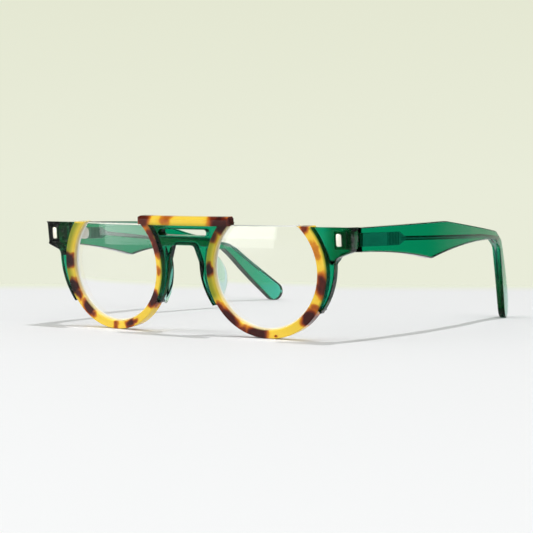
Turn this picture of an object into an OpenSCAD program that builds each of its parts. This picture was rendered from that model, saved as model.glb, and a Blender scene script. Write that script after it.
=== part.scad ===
// Round spectacles with flat-topped half-rims.
// Laminated acetate front, shaped side arms with a metal core, and five-barrel hinges.
// Millimetres. X points to the wearer's left, Y points back to the ears, Z points up.
// The floor under the rims and the ear tips is Z = 0.

/* [Front] */
// Width of each lens at its widest, without the bevel in the groove
eye_size = 41.4; // [36:0.2:46]
// Gap between the two lenses at the nose
bridge_gap = 25.8; // [22:0.2:30]
// Width of the tortoise rim below and beside the nose
rim_w = 3; // [2.2:0.1:4]
// Extra width of the tortoise rim on the side of the ear
rim_extra = 1; // [0:0.1:2]
// Thickness of the acetate sheet of the front
front_t = 4; // [3.2:0.1:5]
// Height of the flat top above the centre of the lens
flat_top = 15.5; // [13:0.1:17]
// Backward angle of each half of the front, seen from above
face_form = 4; // [1:0.5:8]
// Forward lean of the front when the side arms are level
lean = 5; // [0:0.5:9]
// Bevel along the front edge of the rim openings
rim_bevel = 0.4; // [0.1:0.1:0.8]

/* [Brow bar] */
// Height of the top of the bar above the flat top
bar_rise = 2.9; // [2:0.1:5]
// Half of the length of the bar
bar_half = 20.6; // [18:0.1:24]
// How far the bar reaches below the flat top
bar_foot = 0.3; // [0:0.1:1]
// Bevel along the top front edge of the bar
bar_bevel = 1.2; // [0.3:0.1:2]
// Bevel on the upper corners of the bar's two ends
bar_tip = 0.6; // [0.2:0.1:1.2]

/* [Bridge] */
// Height of the nose arch above the centre of the lenses
arch_top = 8.2; // [5:0.1:9]
// Half of the width of the arch at its top
arch_half = 5.3; // [4:0.1:7]
// Radius of the two corners of the arch
arch_corner = 1.8; // [0.6:0.1:3]
// Width of the green band between rim and nose, on the front face
nose_band = 1.9; // [1.4:0.1:2.8]
// How much the nose opening widens on each side from the front face to the back face
nose_splay = 0.9; // [0:0.1:1.2]
// How far the centre of the nose opening's round flank lies inward of the lens centre
flank_in = 1.1; // [0:0.1:2]
// How far the centre of the flank lies above the lens centre
flank_up = 2.3; // [0:0.1:3.5]
// Half of the length of the slot under the bar
slot_half = 10.6; // [6:0.1:11.5]
// Height of the slot
slot_h = 2.3; // [1:0.1:3]
// Gap from the slot up to the bar
slot_roof = 1.3; // [0.8:0.1:2]

/* [End pieces] */
// How far the front reaches outward beyond each lens
end_reach = 13.5; // [10:0.1:17]
// Depth of the end piece where the side arm meets it
end_depth = 7; // [5.5:0.1:9]
// Height of the outer side of the end piece
end_h = 9; // [8:0.1:11]
// Width of the green band that runs down the outside of the rim
band_w = 2.75; // [2.1:0.05:3.8]
// Bevel on the outer front edge
end_bevel = 0.9; // [0.2:0.1:1.5]
// Bevel along the back edge of the band and of the bar's ends
back_bevel = 1.5; // [0.3:0.1:2]

/* [Lenses] */
// Radius of the front surface of the lens
lens_front_r = 125; // [90:1:300]
// Radius of the back surface of the lens
lens_back_r = 95; // [80:1:300]
// Thickness of the lens at its centre
lens_t = 1.6; // [1.2:0.1:3]
// Depth of the groove in the rim
groove = 0.6; // [0.4:0.05:0.9]
// Gap between lens and groove
lens_gap = 0.05; // [0.02:0.01:0.15]

/* [Nose pads] */
// How far the pads stand out behind the front
pad_reach = 4.8; // [2:0.1:6]
// Thickness of a pad
pad_t = 2; // [1.4:0.1:2.2]
// Length of the pad's foot, from its upper end to its lower end
pad_length = 21; // [14:0.5:22]
// Height of the middle of the pad below the centre of the lens
pad_drop = 3.2; // [2:0.1:6]
// Backward splay of the pads
pad_splay = 40; // [15:1:42]

/* [Plaques] */
// Width of the metal plaque on the end piece
plaque_w = 2; // [1.2:0.1:4]
// Height of the plaque
plaque_h = 4.3; // [2:0.1:6]
// Corner radius of the plaque
plaque_corner = 0.55; // [0.2:0.05:0.55]
// Depth of the pocket for the plaque
plaque_pocket = 0.8; // [0.4:0.1:1.5]
// How far the plaque stands out of its pocket
plaque_proud = 0.15; // [0.05:0.05:0.5]

/* [Side arms] */
// Length from the joint to the ear tip, measured straight back
arm_reach = 130; // [122:0.5:140]
// Thickness of the side arm
arm_t = 4; // [3.6:0.1:5]
// Height of the side arm at the joint
arm_h = 8.3; // [7.5:0.1:10]
// Step down from the top of the end piece to the top of the side arm
arm_step = 0.15; // [0.05:0.05:0.5]
// Outward angle of the side arm at the joint
arm_flare = 6.4; // [4:0.1:8]
// Radius of the bow of the side arm, seen from above
arm_bow_r = 370; // [300:5:500]
// Distance from the joint to where the ear piece starts to curve in
ear_start = 88; // [80:1:88]
// Radius of the inward curve of the ear piece, on its outer face
ear_curve_r = 175; // [130:1:220]
// Radius of the inward curve on the inner face, larger where the ear piece thins out
ear_inner_r = 240; // [180:1:280]
// Distance from the joint to the peak of the lower edge
peak_at = 44.8; // [35:0.2:52]
// How far the lower peak hangs below the joint's lower corner
peak_drop = 3.6; // [1:0.1:5]
// Distance from the joint to the top of the shoulder
shoulder_at = 55; // [45:0.5:65]
// Height of the shoulder above the joint's upper corner
shoulder_rise = 1.3; // [0.3:0.1:3]
// Distance from the joint to the ear bend of the left arm
left_bend = 103.5; // [90:0.5:106]
// Distance from the joint to the ear bend of the right arm, fitted closer
right_bend = 93; // [90:0.5:106]
// How much lower than the left arm the right arm is set, as an angle
right_dip = 2.4; // [0:0.1:3]
// Distance from the waist of the lower edge to the ear bend
waist_run = 9; // [6:0.5:20]
// How far the waist lies above the lower edge at the ear bend
waist_rise = 0.5; // [0.3:0.1:1.2]
// Height of the side arm at the ear bend
bend_h = 3.6; // [3:0.1:5]
// Drop of the upper edge from the joint to the ear bend
bend_drop = 3.5; // [1:0.1:5]
// Radius of the round end of the ear tip
tip_r = 4.6; // [4:0.1:6]

/* [Hinges] */
// Outer diameter of the hinge barrels
barrel_d = 3.4; // [2.8:0.1:4]
// Height of the whole stack of five barrels
barrel_stack = 6; // [5:0.1:7]
// Diameter of the hinge screw
screw_d = 1.4; // [1.1:0.1:1.8]
// Running clearance of the side arm's barrels round the screw
pivot_play = 0.04; // [0.02:0.01:0.1]
// Gap between neighbouring barrels
barrel_gap = 0.06; // [0.03:0.01:0.15]
// Thickness of the hinge leaves
leaf_t = 1.2; // [0.8:0.1:1.6]
// Height of the hinge leaves
leaf_h = 4.6; // [3.6:0.1:5.6]
// Length of the leaf on the side arm
arm_leaf = 11; // [8:0.5:16]
// Diameter of the pegs that hold the front leaf
peg_d = 1.3; // [0.8:0.1:1.6]
// Gap between the end piece and the side arm when open
joint_gap = 0.1; // [0.05:0.05:0.3]
// Gap round pieces that are let into the acetate
inlay_gap = 0.04; // [0.02:0.01:0.1]

/* [Core wires] */
// Diameter of the core wire
wire_d = 1.5; // [1.2:0.1:2]
// Thickness of the core's flat paddle
paddle_t = 1.2; // [0.8:0.1:1.6]
// Distance from the joint to the end of the paddle
paddle_end = 23; // [18:0.5:30]
// Length of the taper from paddle to wire
paddle_taper = 4; // [2:0.5:8]
// Height above the floor at which the wire ends inside the ear piece
wire_end_h = 16; // [12:1:20]
// Length of the ribbed stretch at the rear of the paddle
rib_run = 7.4; // [4:0.2:8]
// Number of ribs on each face of the paddle
rib_count = 7; // [4:1:10]
// Depth of the grooves between the ribs
rib_depth = 0.15; // [0.05:0.05:0.25]

/* [Hidden] */

LEFT = 1;
RIGHT = -1;
eps = 0.01;
big = 200;
arc_steps = 16;
plan_step = 5;

tortoise = [0.75, 0.5, 0.12];
green = [0.04, 0.45, 0.3];
clear_green = [0.55, 0.8, 0.7];
steel = [0.75, 0.75, 0.74];
glass = [0.85, 0.92, 0.95, 0.5];

// Front: places in its own leaning frame, where Y is the depth behind the front face
eye_r = eye_size / 2;
rim_r = eye_r + rim_w;
lens_x = (eye_size + bridge_gap) / 2;
lens_h = rim_r;
lens_seat = front_t / 2;
// The middle of the front is bowed; it runs straight again just before the rims begin
bow_margin = 0.4;
bar_proud = 0.02;
bow_half = lens_x - sqrt(pow(rim_r, 2) - pow(flat_top - bar_foot, 2)) - bow_margin;
bow_r = bow_half / sin(face_form);
bow_sag = bow_r * (1 - cos(face_form));
bar_sag = bow_sag + (bar_half - bow_half) * tan(face_form) - bar_proud;
bar_r = (pow(bar_half, 2) + pow(bar_sag, 2)) / (2 * bar_sag);
lens_y = bow_sag + (lens_x - bow_half) * tan(face_form);
top_h = lens_h + flat_top;
bar_top = top_h + bar_rise;
bar_bottom = top_h - bar_foot;
floor_drop = lens_y * sin(lean);

// End piece: places in the frame of one lens, U outward from its centre and V up
end_half = lens_x + eye_r + end_reach;
band_r = rim_r + band_w;
end_u = (end_half - lens_x) / cos(face_form);
end_top = top_h * cos(lean);
end_foot = flat_top - end_h;
end_corner = 0.8;
neck_u = 4.6;
neck_drop = 1.4;
band_u = 1.2;
band_v = 2.7;
band_foot = 35;
plaque_u = end_u - 4.4;
plaque_v = flat_top - end_h / 2;

// Side arm: the joint is on the outer side of the end piece
arm_z = end_top - arm_step;
joint_x = end_half;
joint_depth = (lens_y + (end_half - lens_x) * tan(face_form) + end_depth) * cos(lean)
    - (top_h - end_h / 2) * sin(lean);
hinge_z = arm_z - arm_h / 2;
pivot_gap = 0.1;
pivot_x = -arm_t - barrel_d / 2 - pivot_gap;
pivot_y = barrel_d / 2;
barrel_h = barrel_stack / 5;
knee_offset = [6, -3.4];
knee_r = 2.5;
wire_knee = [4, -1.2];
wire_share = 0.72;
rib_share = 0.45;
leaf_u = end_u + pivot_x;
leaf_y = lens_y + leaf_u * sin(face_form) + end_depth;
leaf_v = (hinge_z + floor_drop - leaf_y * sin(lean)) / cos(lean) - lens_h;

// Bow of the side arm: centres of the arcs of its faces, in the arm's frame
ear_angle = asin(ear_start / arm_bow_r);
bow_centre = [-arm_bow_r, 0];
ear_centre = bow_centre + (arm_bow_r - ear_curve_r) * [cos(ear_angle), sin(ear_angle)];
ear_inner_centre = bow_centre
    + (arm_bow_r - arm_t - ear_inner_r) * [cos(ear_angle), sin(ear_angle)];

// Shift that puts the origin under the middle of the whole length
back_end = joint_depth + arm_reach * cos(arm_flare) - inner_side(arm_reach) * sin(arm_flare);
front_end = -(bar_top - bar_bevel) * sin(lean);
mid_y = (front_end + back_end) / 2;

// Depth of a spherical surface at radius r from its apex
function sag(radius, r) = radius - sqrt(radius * radius - r * r);

// Sizes in which the two side arms differ
function bend_at(s) = s == LEFT ? left_bend : right_bend;
function dip(s) = s == LEFT ? 0 : right_dip;

// A point of the arm's side view, turned down by the dip of that arm
function dipped(s, p) = [p[0] * cos(dip(s)) + (p[1] - arm_z) * sin(dip(s)),
    arm_z + (p[1] - arm_z) * cos(dip(s)) - p[0] * sin(dip(s))];

// Points along an arc, both ends included
function arc(centre, radius, from, to) = [for (i = [0:arc_steps])
    centre + radius * [cos(from + (to - from) * i / arc_steps), sin(from + (to - from) * i / arc_steps)]];

// Side of the arm's outer face at a distance behind the joint
function outer_side(y) = y < ear_start
    ? bow_centre[0] + sqrt(pow(arm_bow_r, 2) - y * y)
    : ear_centre[0] + sqrt(pow(ear_curve_r, 2) - pow(y - ear_centre[1], 2));

// Side of the arm's inner face at a distance behind the joint
function inner_side(y) = y < ear_start
    ? bow_centre[0] + sqrt(pow(arm_bow_r - arm_t, 2) - y * y)
    : ear_inner_centre[0] + sqrt(pow(ear_inner_r, 2) - pow(y - ear_inner_centre[1], 2));

module side(s) {
    if (s == LEFT) children();
    else mirror([1, 0, 0]) children();
}

// The leaning frame of the front, with the rims' lowest edge on the floor
module front_frame() {
    translate([0, -mid_y, -floor_drop]) rotate([lean, 0, 0]) children();
}

// The frame of one lens: X outward, Y depth, Z up, origin on the front face
module lens_frame() {
    front_frame() at_lens(LEFT) children();
}

// The frame of one side arm: origin at the outer end of the joint, Y along the arm
module arm_frame() {
    translate([joint_x, joint_depth - mid_y, 0]) rotate([0, 0, -arm_flare]) children();
}

// The vertical hinge axis of one side arm
module pivot() {
    arm_frame() translate([pivot_x, pivot_y, hinge_z]) children();
}

// Extrudes an outline drawn in X and Z from one depth to another
module through(from, to) {
    translate([0, to, 0]) rotate([90, 0, 0]) linear_extrude(to - from) children();
}

// Sweeps a section, drawn as depth and height, along a bow of this radius and half width
module bowed(radius, half) {
    angle = asin(half / radius);
    translate([0, radius, 0]) rotate([0, 0, -90 - angle])
        rotate_extrude(angle = 2 * angle, $fn = 720)
            translate([radius, 0]) mirror([1, 0]) children();
}

// Outer outline of the tortoise rim round one lens
module rim_outline() {
    circle(rim_r, $fn = 180);
    translate([rim_extra, 0]) circle(rim_r, $fn = 180);
    translate([0, -rim_r]) square([rim_extra, 2 * rim_r]);
}

// The opening of one rim: bevelled front edge, straight wall and lens groove
module rim_opening() {
    rotate([-90, 0, 0]) rotate_extrude($fn = 180) {
        translate([0, -1]) square([eye_r, front_t + 2]);
        polygon([[eye_r - eps, -eps], [eye_r + rim_bevel, -eps], [eye_r - eps, rim_bevel]]);
        polygon([[eye_r - eps, lens_seat - groove], [eye_r + groove, lens_seat],
            [eye_r - eps, lens_seat + groove]]);
    }
}

// Places something on the centre of one lens, inside the frame of the front
module at_lens(s) {
    side(s) translate([lens_x, lens_y, lens_h]) rotate([0, 0, face_form]) children();
}

// Tortoise front: two open rings and the brow bar across them
module rim_front() {
    color(tortoise) front_frame() difference() {
        union() {
            for (s = [LEFT, RIGHT]) difference() {
                at_lens(s) through(0, front_t) rim_outline();
                translate([-big / 2, -big / 2, top_h]) cube([big, big, big]);
            }
            brow_bar();
        }
        for (s = [LEFT, RIGHT]) at_lens(s) rim_opening();
    }
}

// Brow bar: one bow over its whole length, with a long bevel above and bevelled ends
module brow_bar() {
    difference() {
        intersection() {
            bowed(bar_r, bar_half + 1) polygon([[bar_bevel, bar_top], [front_t, bar_top],
                [front_t, bar_bottom], [0, bar_bottom], [0, bar_top - bar_bevel]]);
            through(-10, 20) polygon([[-bar_half, bar_bottom], [bar_half, bar_bottom],
                [bar_half, bar_top - bar_tip], [bar_half - bar_tip, bar_top],
                [-bar_half + bar_tip, bar_top], [-bar_half, bar_top - bar_tip]]);
        }
        for (s = [LEFT, RIGHT]) side(s)
            translate([bar_half, bow_sag + front_t - back_bevel, 0]) rotate([0, 0, 45])
                translate([0, -back_bevel, 0]) cube([2 * front_t, 2 * front_t, 2 * bar_top]);
    }
}

// The gap for the nose: an arch with round corners above two flanks that follow the rims
module nose_gap() {
    flank_r = rim_r + nose_band;
    flank_x = lens_x - flank_in;
    flank_h = lens_h + flank_up;
    arch_h = lens_h + arch_top;
    hip_x = flank_x - flank_r;
    difference() {
        through(-front_t, 2 * front_t) {
            polygon([[-arch_half + arch_corner, arch_h], [arch_half - arch_corner, arch_h],
                [arch_half, arch_h - arch_corner], [hip_x, flank_h], [lens_x, flank_h],
                [lens_x, -eps], [-lens_x, -eps], [-lens_x, flank_h], [-hip_x, flank_h],
                [-arch_half, arch_h - arch_corner]]);
            for (s = [LEFT, RIGHT])
                translate([s * (arch_half - arch_corner), arch_h - arch_corner])
                    circle(arch_corner, $fn = 48);
        }
        for (s = [LEFT, RIGHT])
            translate([s * flank_x, -front_t, flank_h]) rotate([-90, 0, 0])
                cylinder(r1 = flank_r + nose_splay, r2 = flank_r - 2 * nose_splay,
                    h = 3 * front_t, $fn = 180);
    }
}

// The long slot under the brow bar
module bridge_slot() {
    slot_mid = bar_bottom - slot_roof - slot_h / 2;
    for (s = [LEFT, RIGHT])
        translate([s * (slot_half - slot_h / 2), slot_mid]) circle(slot_h / 2, $fn = 48);
    translate([0, slot_mid]) square([2 * slot_half - slot_h, slot_h], center = true);
}

// Green bridge between the rims: its flanks end below on a slanting cut
module bridge() {
    flank_foot = 32;
    foot_h = lens_h - rim_r * sin(flank_foot) - 2;
    color(green) front_frame() difference() {
        bowed(bow_r, bow_half + 2 * bow_margin) translate([0, foot_h])
            square([front_t, bar_bottom - foot_h]);
        nose_gap();
        through(-front_t, 2 * front_t) bridge_slot();
        for (s = [LEFT, RIGHT]) at_lens(s) {
            through(-front_t, 2 * front_t) rim_outline();
            rotate([0, -flank_foot, 0]) translate([-big, -big / 2, -big]) cube([big, big, big]);
        }
    }
}

// Side and underside of the end piece, in the lens frame
module end_outline() {
    polygon([[0, flat_top + front_t], [end_u, flat_top + front_t],
        [end_u - end_corner / 2, end_foot + end_corner], [end_u - end_corner, end_foot],
        [end_u - neck_u, end_foot - neck_drop], [band_u + band_r, end_foot - 2.5 * neck_drop],
        [0, end_foot - 2.5 * neck_drop]]);
}

// Plan of the end piece: the sheet, and the deeper block that meets the side arm
module end_plan() {
    block_u = leaf_u - leaf_h / 2 - 0.5;
    polygon([[0, 0], [end_u - end_bevel, 0], [end_u, end_bevel], [end_u, end_depth],
        [block_u, end_depth], [block_u - (end_depth - front_t), front_t], [0, front_t]]);
}

// Band that runs down the outside of the rim, bevelled along its back edge
module outer_band() {
    intersection() {
        translate([band_u, 0, band_v]) rotate([-90, 0, 0]) rotate_extrude($fn = 180)
            polygon([[0, 0], [band_r, 0], [band_r, front_t - back_bevel],
                [band_r - back_bevel, front_t], [0, front_t]]);
        through(-eps, front_t + eps) intersection() {
            rotate(-band_foot) square([big, big]);
            translate([0, end_foot - 1 - big]) square([big, big]);
        }
    }
}

module end_piece(s) {
    color(green) side(s) difference() {
        lens_frame() difference() {
            union() {
                intersection() {
                    through(0, end_depth) end_outline();
                    translate([0, 0, -big / 2]) linear_extrude(big) end_plan();
                }
                outer_band();
            }
            through(-front_t, 2 * end_depth) rim_outline();
            through(-eps, plaque_pocket) plaque_outline(inlay_gap);
            front_leaf(inlay_gap);
            pegs(inlay_gap);
        }
        translate([0, -big, end_top]) cube([big, 2 * big, big]);
    }
}

// Rounded outline of the plaque, grown by a gap
module plaque_outline(grow) {
    corner = plaque_corner;
    width = plaque_w + 2 * grow;
    height = plaque_h + 2 * grow;
    translate([plaque_u, plaque_v]) {
        square([width - 2 * corner, height], center = true);
        square([width, height - 2 * corner], center = true);
        for (x = [-1, 1], z = [-1, 1])
            translate([x * (width / 2 - corner), z * (height / 2 - corner)])
                circle(corner, $fn = 32);
    }
}

module plaque(s) {
    color(steel) side(s) lens_frame()
        through(-plaque_proud, plaque_pocket) plaque_outline(0);
}

// Leaf of the front hinge half, let into the back of the end piece
module front_leaf(grow) {
    translate([leaf_u - leaf_h / 2 - grow, end_depth - leaf_t, leaf_v - barrel_stack / 2 - grow])
        cube([leaf_h + 2 * grow, leaf_t + grow, barrel_stack + 2 * grow]);
}

// Two pegs that hold the front leaf in the acetate
module pegs(grow) {
    peg_length = 2.6;
    for (z = [-1, 1])
        translate([leaf_u, end_depth - leaf_t, leaf_v + z * barrel_stack / 4])
            rotate([90, 0, 0]) cylinder(d = peg_d + 2 * grow, h = peg_length + grow, $fn = 32);
}

module hinge_pegs(s) {
    color(steel) side(s) lens_frame() pegs(0);
}

// Lifts something to the bottom of one barrel of the stack, counted from below
module at_barrel(i) {
    translate([0, 0, i * barrel_h - barrel_stack / 2 + barrel_gap / 2]) children();
}

// One barrel of the stack
module barrel(i) {
    at_barrel(i) cylinder(d = barrel_d, h = barrel_h - barrel_gap, $fn = 64);
}

// Front hinge half: a leaf in the end piece and three of the five barrels
module front_hinge(s) {
    color(steel) side(s) difference() {
        union() {
            lens_frame() front_leaf(0);
            pivot() for (i = [0, 2, 4]) {
                barrel(i);
                at_barrel(i) translate([-barrel_d / 2, -pivot_y - leaf_t, 0])
                    cube([barrel_d, pivot_y + leaf_t, barrel_h - barrel_gap]);
            }
        }
        pivot() cylinder(d = screw_d, h = 2 * barrel_stack, center = true, $fn = 48);
    }
}

// Hinge screw: slotted head on top of the stack, shank through all five barrels
module hinge_screw(s) {
    head_h = 0.7;
    slot_w = 0.4;
    stack_top = (barrel_stack - barrel_gap) / 2;
    color(steel) side(s) pivot() difference() {
        union() {
            translate([0, 0, -stack_top]) cylinder(d = screw_d, h = 2 * stack_top + eps, $fn = 48);
            translate([0, 0, stack_top]) cylinder(d = 2 * screw_d, h = head_h, $fn = 48);
        }
        translate([-barrel_d, -slot_w / 2, stack_top + head_h / 2])
            cube([2 * barrel_d, slot_w, head_h]);
    }
}

// Leaf of the side arm's hinge half with a round end, half sunk in the arm's inner face
module arm_leaf_plate(grow) {
    round_at = arm_leaf - leaf_h / 2;
    translate([-arm_t - leaf_t / 2, pivot_y, hinge_z]) rotate([90, 0, 90])
        linear_extrude(leaf_t + grow) {
            translate([0, -leaf_h / 2 - grow]) square([round_at, leaf_h + 2 * grow]);
            translate([round_at, 0]) circle(d = leaf_h + 2 * grow, $fn = 48);
        }
}

// Hinge half of the side arm: the leaf and two of the five barrels
module temple_hinge(s) {
    clear = 0.2;
    color(steel) side(s) difference() {
        union() {
            arm_frame() arm_leaf_plate(0);
            pivot() for (i = [1, 3]) {
                barrel(i);
                at_barrel(i) cube([barrel_d / 2 + pivot_gap + leaf_t / 2, barrel_d / 2 + clear,
                    barrel_h - barrel_gap]);
            }
        }
        pivot() {
            cylinder(d = screw_d + 2 * pivot_play, h = 2 * barrel_stack, center = true, $fn = 48);
            for (i = [0, 2, 4]) translate([0, 0, -barrel_gap])
                at_barrel(i) cylinder(d = barrel_d + 2 * clear, h = barrel_h + barrel_gap, $fn = 64);
        }
    }
}

// Plan of a strip between two depths inside the arm, along the long bow
module bow_plan(outer, inner) {
    reach = 1.2 * arm_bow_r;
    intersection() {
        translate(bow_centre) difference() {
            circle(arm_bow_r - outer, $fn = 1440);
            circle(arm_bow_r - inner, $fn = 1440);
        }
        translate(bow_centre)
            polygon([[0, 0], [reach, -30], reach * [cos(ear_angle), sin(ear_angle)]]);
    }
}

// Side view of the arm: distance from the joint, and height
module arm_outline(s) {
    low = arm_z - arm_h;
    peak = [peak_at, low - peak_drop];
    bend_low = [bend_at(s), arm_z - bend_drop - bend_h];
    waist = bend_low + [-waist_run, waist_rise];
    front_r = (pow(peak_at, 2) + pow(peak_drop, 2)) / (2 * peak_drop);
    rear = waist - peak;
    rear_r = (pow(rear[0], 2) + pow(rear[1], 2)) / (2 * rear[1]);
    rear_arc = arc(waist - [0, rear_r], rear_r, 90, 90 + asin(rear[0] / rear_r));
    front_arc = arc([0, low - front_r], front_r, 90 - asin(peak_at / front_r), 90);
    upper = [[-front_t, arm_z], [0, arm_z], [shoulder_at, arm_z + shoulder_rise]];
    lower = concat(rear_arc, front_arc, [[-front_t, low]]);
    polygon(concat([for (p = upper) dipped(s, p)], ear_edge(s), [for (p = lower) dipped(s, p)]));
}

// Edge of the ear piece: over the knee, round the tip and back up to the bend
function ear_edge(s) = let (
    bend = dipped(s, [bend_at(s), arm_z - bend_drop - bend_h / 2]),
    bend_r = bend_h / 2,
    knee = bend + knee_offset,
    tip = [arm_reach - tip_r, tip_r],
    over = tangent(bend, bend_r, knee, knee_r),
    down = tangent(knee, knee_r, tip, tip_r)
) concat(
    arc(bend, bend_r, 90 - dip(s), over[0]), arc(knee, knee_r, over[0], down[0]),
    arc(tip, tip_r, down[0], down[1]),
    [knee + knee_r * angled((over[1] + down[1]) / 2)],
    [bend + bend_r * angled(over[1])]);

function angled(a) = [cos(a), sin(a)];

// Directions from two circles to the points where their upper and lower tangents touch
function tangent(p, p_r, q, q_r) = let (
    heading = atan2(q[1] - p[1], q[0] - p[0]),
    turn = acos((p_r - q_r) / norm(q - p))
) [heading + turn, heading - turn];

// Plan of the arm between its two faces
module arm_plan() {
    last = ceil((arm_reach + front_t) / plan_step);
    polygon(concat([for (i = [0:last]) let (y = i * plan_step - front_t) [outer_side(y), y]],
        [for (i = [last:-1:0]) let (y = i * plan_step - front_t) [inner_side(y), y]]));
}

// The acetate of one side arm before its pockets are cut
module arm_solid(s) {
    intersection() {
        linear_extrude(bar_top) arm_plan();
        translate([-big / 2, 0, 0]) rotate([90, 0, 90]) linear_extrude(big) arm_outline(s);
    }
}

module temple(s) {
    color(green) side(s) difference() {
        arm_frame() difference() {
            arm_solid(s);
            arm_leaf_plate(inlay_gap);
            core(s, inlay_gap);
        }
        lens_frame() translate([-big, -big, -big])
            cube([2 * big, big + end_depth + joint_gap, 2 * big]);
    }
}

// Metal core: a paddle that starts beside the hinge leaf, is ribbed behind the leaf's end
// and tapers to a round wire
module core(s, grow) {
    mid = arm_t / 2;
    start = pivot_y;
    ribs_at = paddle_end - rib_run;
    end = paddle_end + paddle_taper;
    half_h = leaf_h / 2 + grow;
    rib_pitch = (paddle_end - ribs_at) / (rib_count + 1);
    difference() {
        intersection() {
            linear_extrude(bar_top) bow_plan(mid - paddle_t / 2 - grow, mid + paddle_t / 2 + grow);
            translate([-big / 2, 0, hinge_z]) rotate([90, 0, 90]) linear_extrude(big)
                polygon([[start - grow, -half_h], [paddle_end, -half_h], [end, -wire_d / 3],
                    [end, wire_d / 3], [paddle_end, half_h], [start - grow, half_h]]);
        }
        if (grow == 0) for (i = [1:rib_count], face = [-1, 1])
            translate([bow_centre[0], 0, hinge_z])
                rotate([0, 0, asin((ribs_at + i * rib_pitch) / arm_bow_r)])
                translate([arm_bow_r - mid + face * paddle_t / 2, 0, 0])
                cube([2 * rib_depth, rib_pitch * rib_share, 2 * leaf_h], center = true);
    }
    core_rod(s, paddle_end + 1, wire_d / 2 + grow);
}

// A point on the middle surface of the ear piece, at a distance from the joint
function ear_mid(y) = [ear_centre[0] - arm_t / 2
    + sqrt(pow(ear_curve_r, 2) - pow(y - ear_centre[1], 2)), y];

// Round wire: along the bow of the arm, then straight into the ear piece
module core_rod(s, start, radius) {
    from_angle = asin(start / arm_bow_r);
    bow_end = [bow_centre[0] + (arm_bow_r - arm_t / 2) * cos(ear_angle),
        (arm_bow_r - arm_t / 2) * sin(ear_angle)];
    bend_mid = dipped(s, [bend_at(s), arm_z - bend_drop - bend_h / 2])[1];
    bow_drop = (hinge_z - bend_mid) * (bow_end[1] - start) / (bend_at(s) - start);
    fall = atan(bow_drop / (bow_end[1] - start));
    translate([bow_centre[0], start, hinge_z]) rotate([-fall, 0, 0]) translate([0, -start, 0])
        rotate([0, 0, from_angle]) rotate_extrude(angle = ear_angle - from_angle, $fn = 1440)
            translate([arm_bow_r - arm_t / 2, 0]) circle(radius, $fn = 32);
    knee = concat(ear_mid(bend_at(s) + wire_knee[0]), bend_mid + wire_knee[1]);
    tail_at = bend_at(s) + (arm_reach - tip_r - bend_at(s)) * wire_share;
    rod(concat(bow_end, hinge_z - bow_drop), knee, radius);
    rod(knee, concat(ear_mid(tail_at), wire_end_h), radius);
}

// Round rod between two points, with a slightly larger ball that fills the bend at its start
module rod(from, to, radius) {
    run = to - from;
    translate(from) {
        sphere(1.05 * radius, $fn = 32);
        rotate([0, acos(run[2] / norm(run)), atan2(run[1], run[0])])
            cylinder(r = radius, h = norm(run), $fn = 32);
    }
}

module core_wire(s) {
    color(steel) side(s) arm_frame() core(s, 0);
}

// Meniscus lens with a bevelled edge that sits in the groove, cut off along the flat top
module lens(s) {
    lens_r = eye_r - lens_gap;
    edge = groove - lens_gap;
    edge_front = sag(lens_front_r, lens_r);
    edge_back = lens_t + sag(lens_back_r, lens_r);
    apex = lens_seat - (edge_front + edge_back) / 2;
    color(glass) side(s) lens_frame() difference() {
        rotate([-90, 0, 0]) rotate_extrude($fn = 180) intersection() {
            difference() {
                translate([0, apex + lens_front_r]) circle(lens_front_r, $fn = 1440);
                translate([0, apex + lens_t + lens_back_r]) circle(lens_back_r, $fn = 1440);
            }
            union() {
                translate([0, apex - 1]) square([lens_r, 2 * end_depth]);
                polygon([[lens_r - eps, lens_seat - edge], [lens_r + edge, lens_seat],
                    [lens_r - eps, lens_seat + edge]]);
            }
        }
        translate([-big / 2, -big / 2, flat_top]) cube([big, big, big]);
    }
}

// Nose pad: a wing swept round the lens centre, splayed backward, with a curved back edge
module nose_pad(s) {
    foot_r = rim_r + pad_t / 2;
    back = front_t + pad_reach;
    tip = [foot_r - (pad_reach - pad_t / 2) * tan(pad_splay), back - pad_t / 2];
    across = pad_t / 2 * angled(pad_splay);
    foot = [foot_r + front_t / 2 * tan(pad_splay), front_t / 2];
    curve_r = (pow(pad_length / 2, 2) + pow(pad_reach, 2)) / (2 * pad_reach);
    color(clear_green) intersection() {
        side(s) lens_frame() intersection() {
            rotate([-90, 0, 0]) rotate_extrude($fn = 180) {
                polygon([foot + across, tip + across, tip - across, foot - across]);
                translate(tip) circle(pad_t / 2, $fn = 48);
            }
            translate([-foot_r - 1.1 * pad_t, back - curve_r, -pad_drop]) sphere(curve_r, $fn = 180);
        }
        front_frame() translate([0, bow_r, 0]) cylinder(r = bow_r - front_t, h = top_h, $fn = 1440);
    }
}

rim_front();
bridge();
end_piece(LEFT);  // end_piece_left
end_piece(RIGHT);  // end_piece_right
nose_pad(LEFT);  // nose_pad_left
nose_pad(RIGHT);  // nose_pad_right
lens(LEFT);  // lens_left
lens(RIGHT);  // lens_right
plaque(LEFT);  // plaque_left
plaque(RIGHT);  // plaque_right
front_hinge(LEFT);  // front_hinge_left
front_hinge(RIGHT);  // front_hinge_right
hinge_pegs(LEFT);  // hinge_pegs_left
hinge_pegs(RIGHT);  // hinge_pegs_right
hinge_screw(LEFT);  // hinge_screw_left
hinge_screw(RIGHT);  // hinge_screw_right
temple_hinge(LEFT);  // temple_hinge_left
temple_hinge(RIGHT);  // temple_hinge_right
temple(LEFT);  // temple_left
temple(RIGHT);  // temple_right
core_wire(LEFT);  // core_wire_left
core_wire(RIGHT);  // core_wire_right
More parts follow.
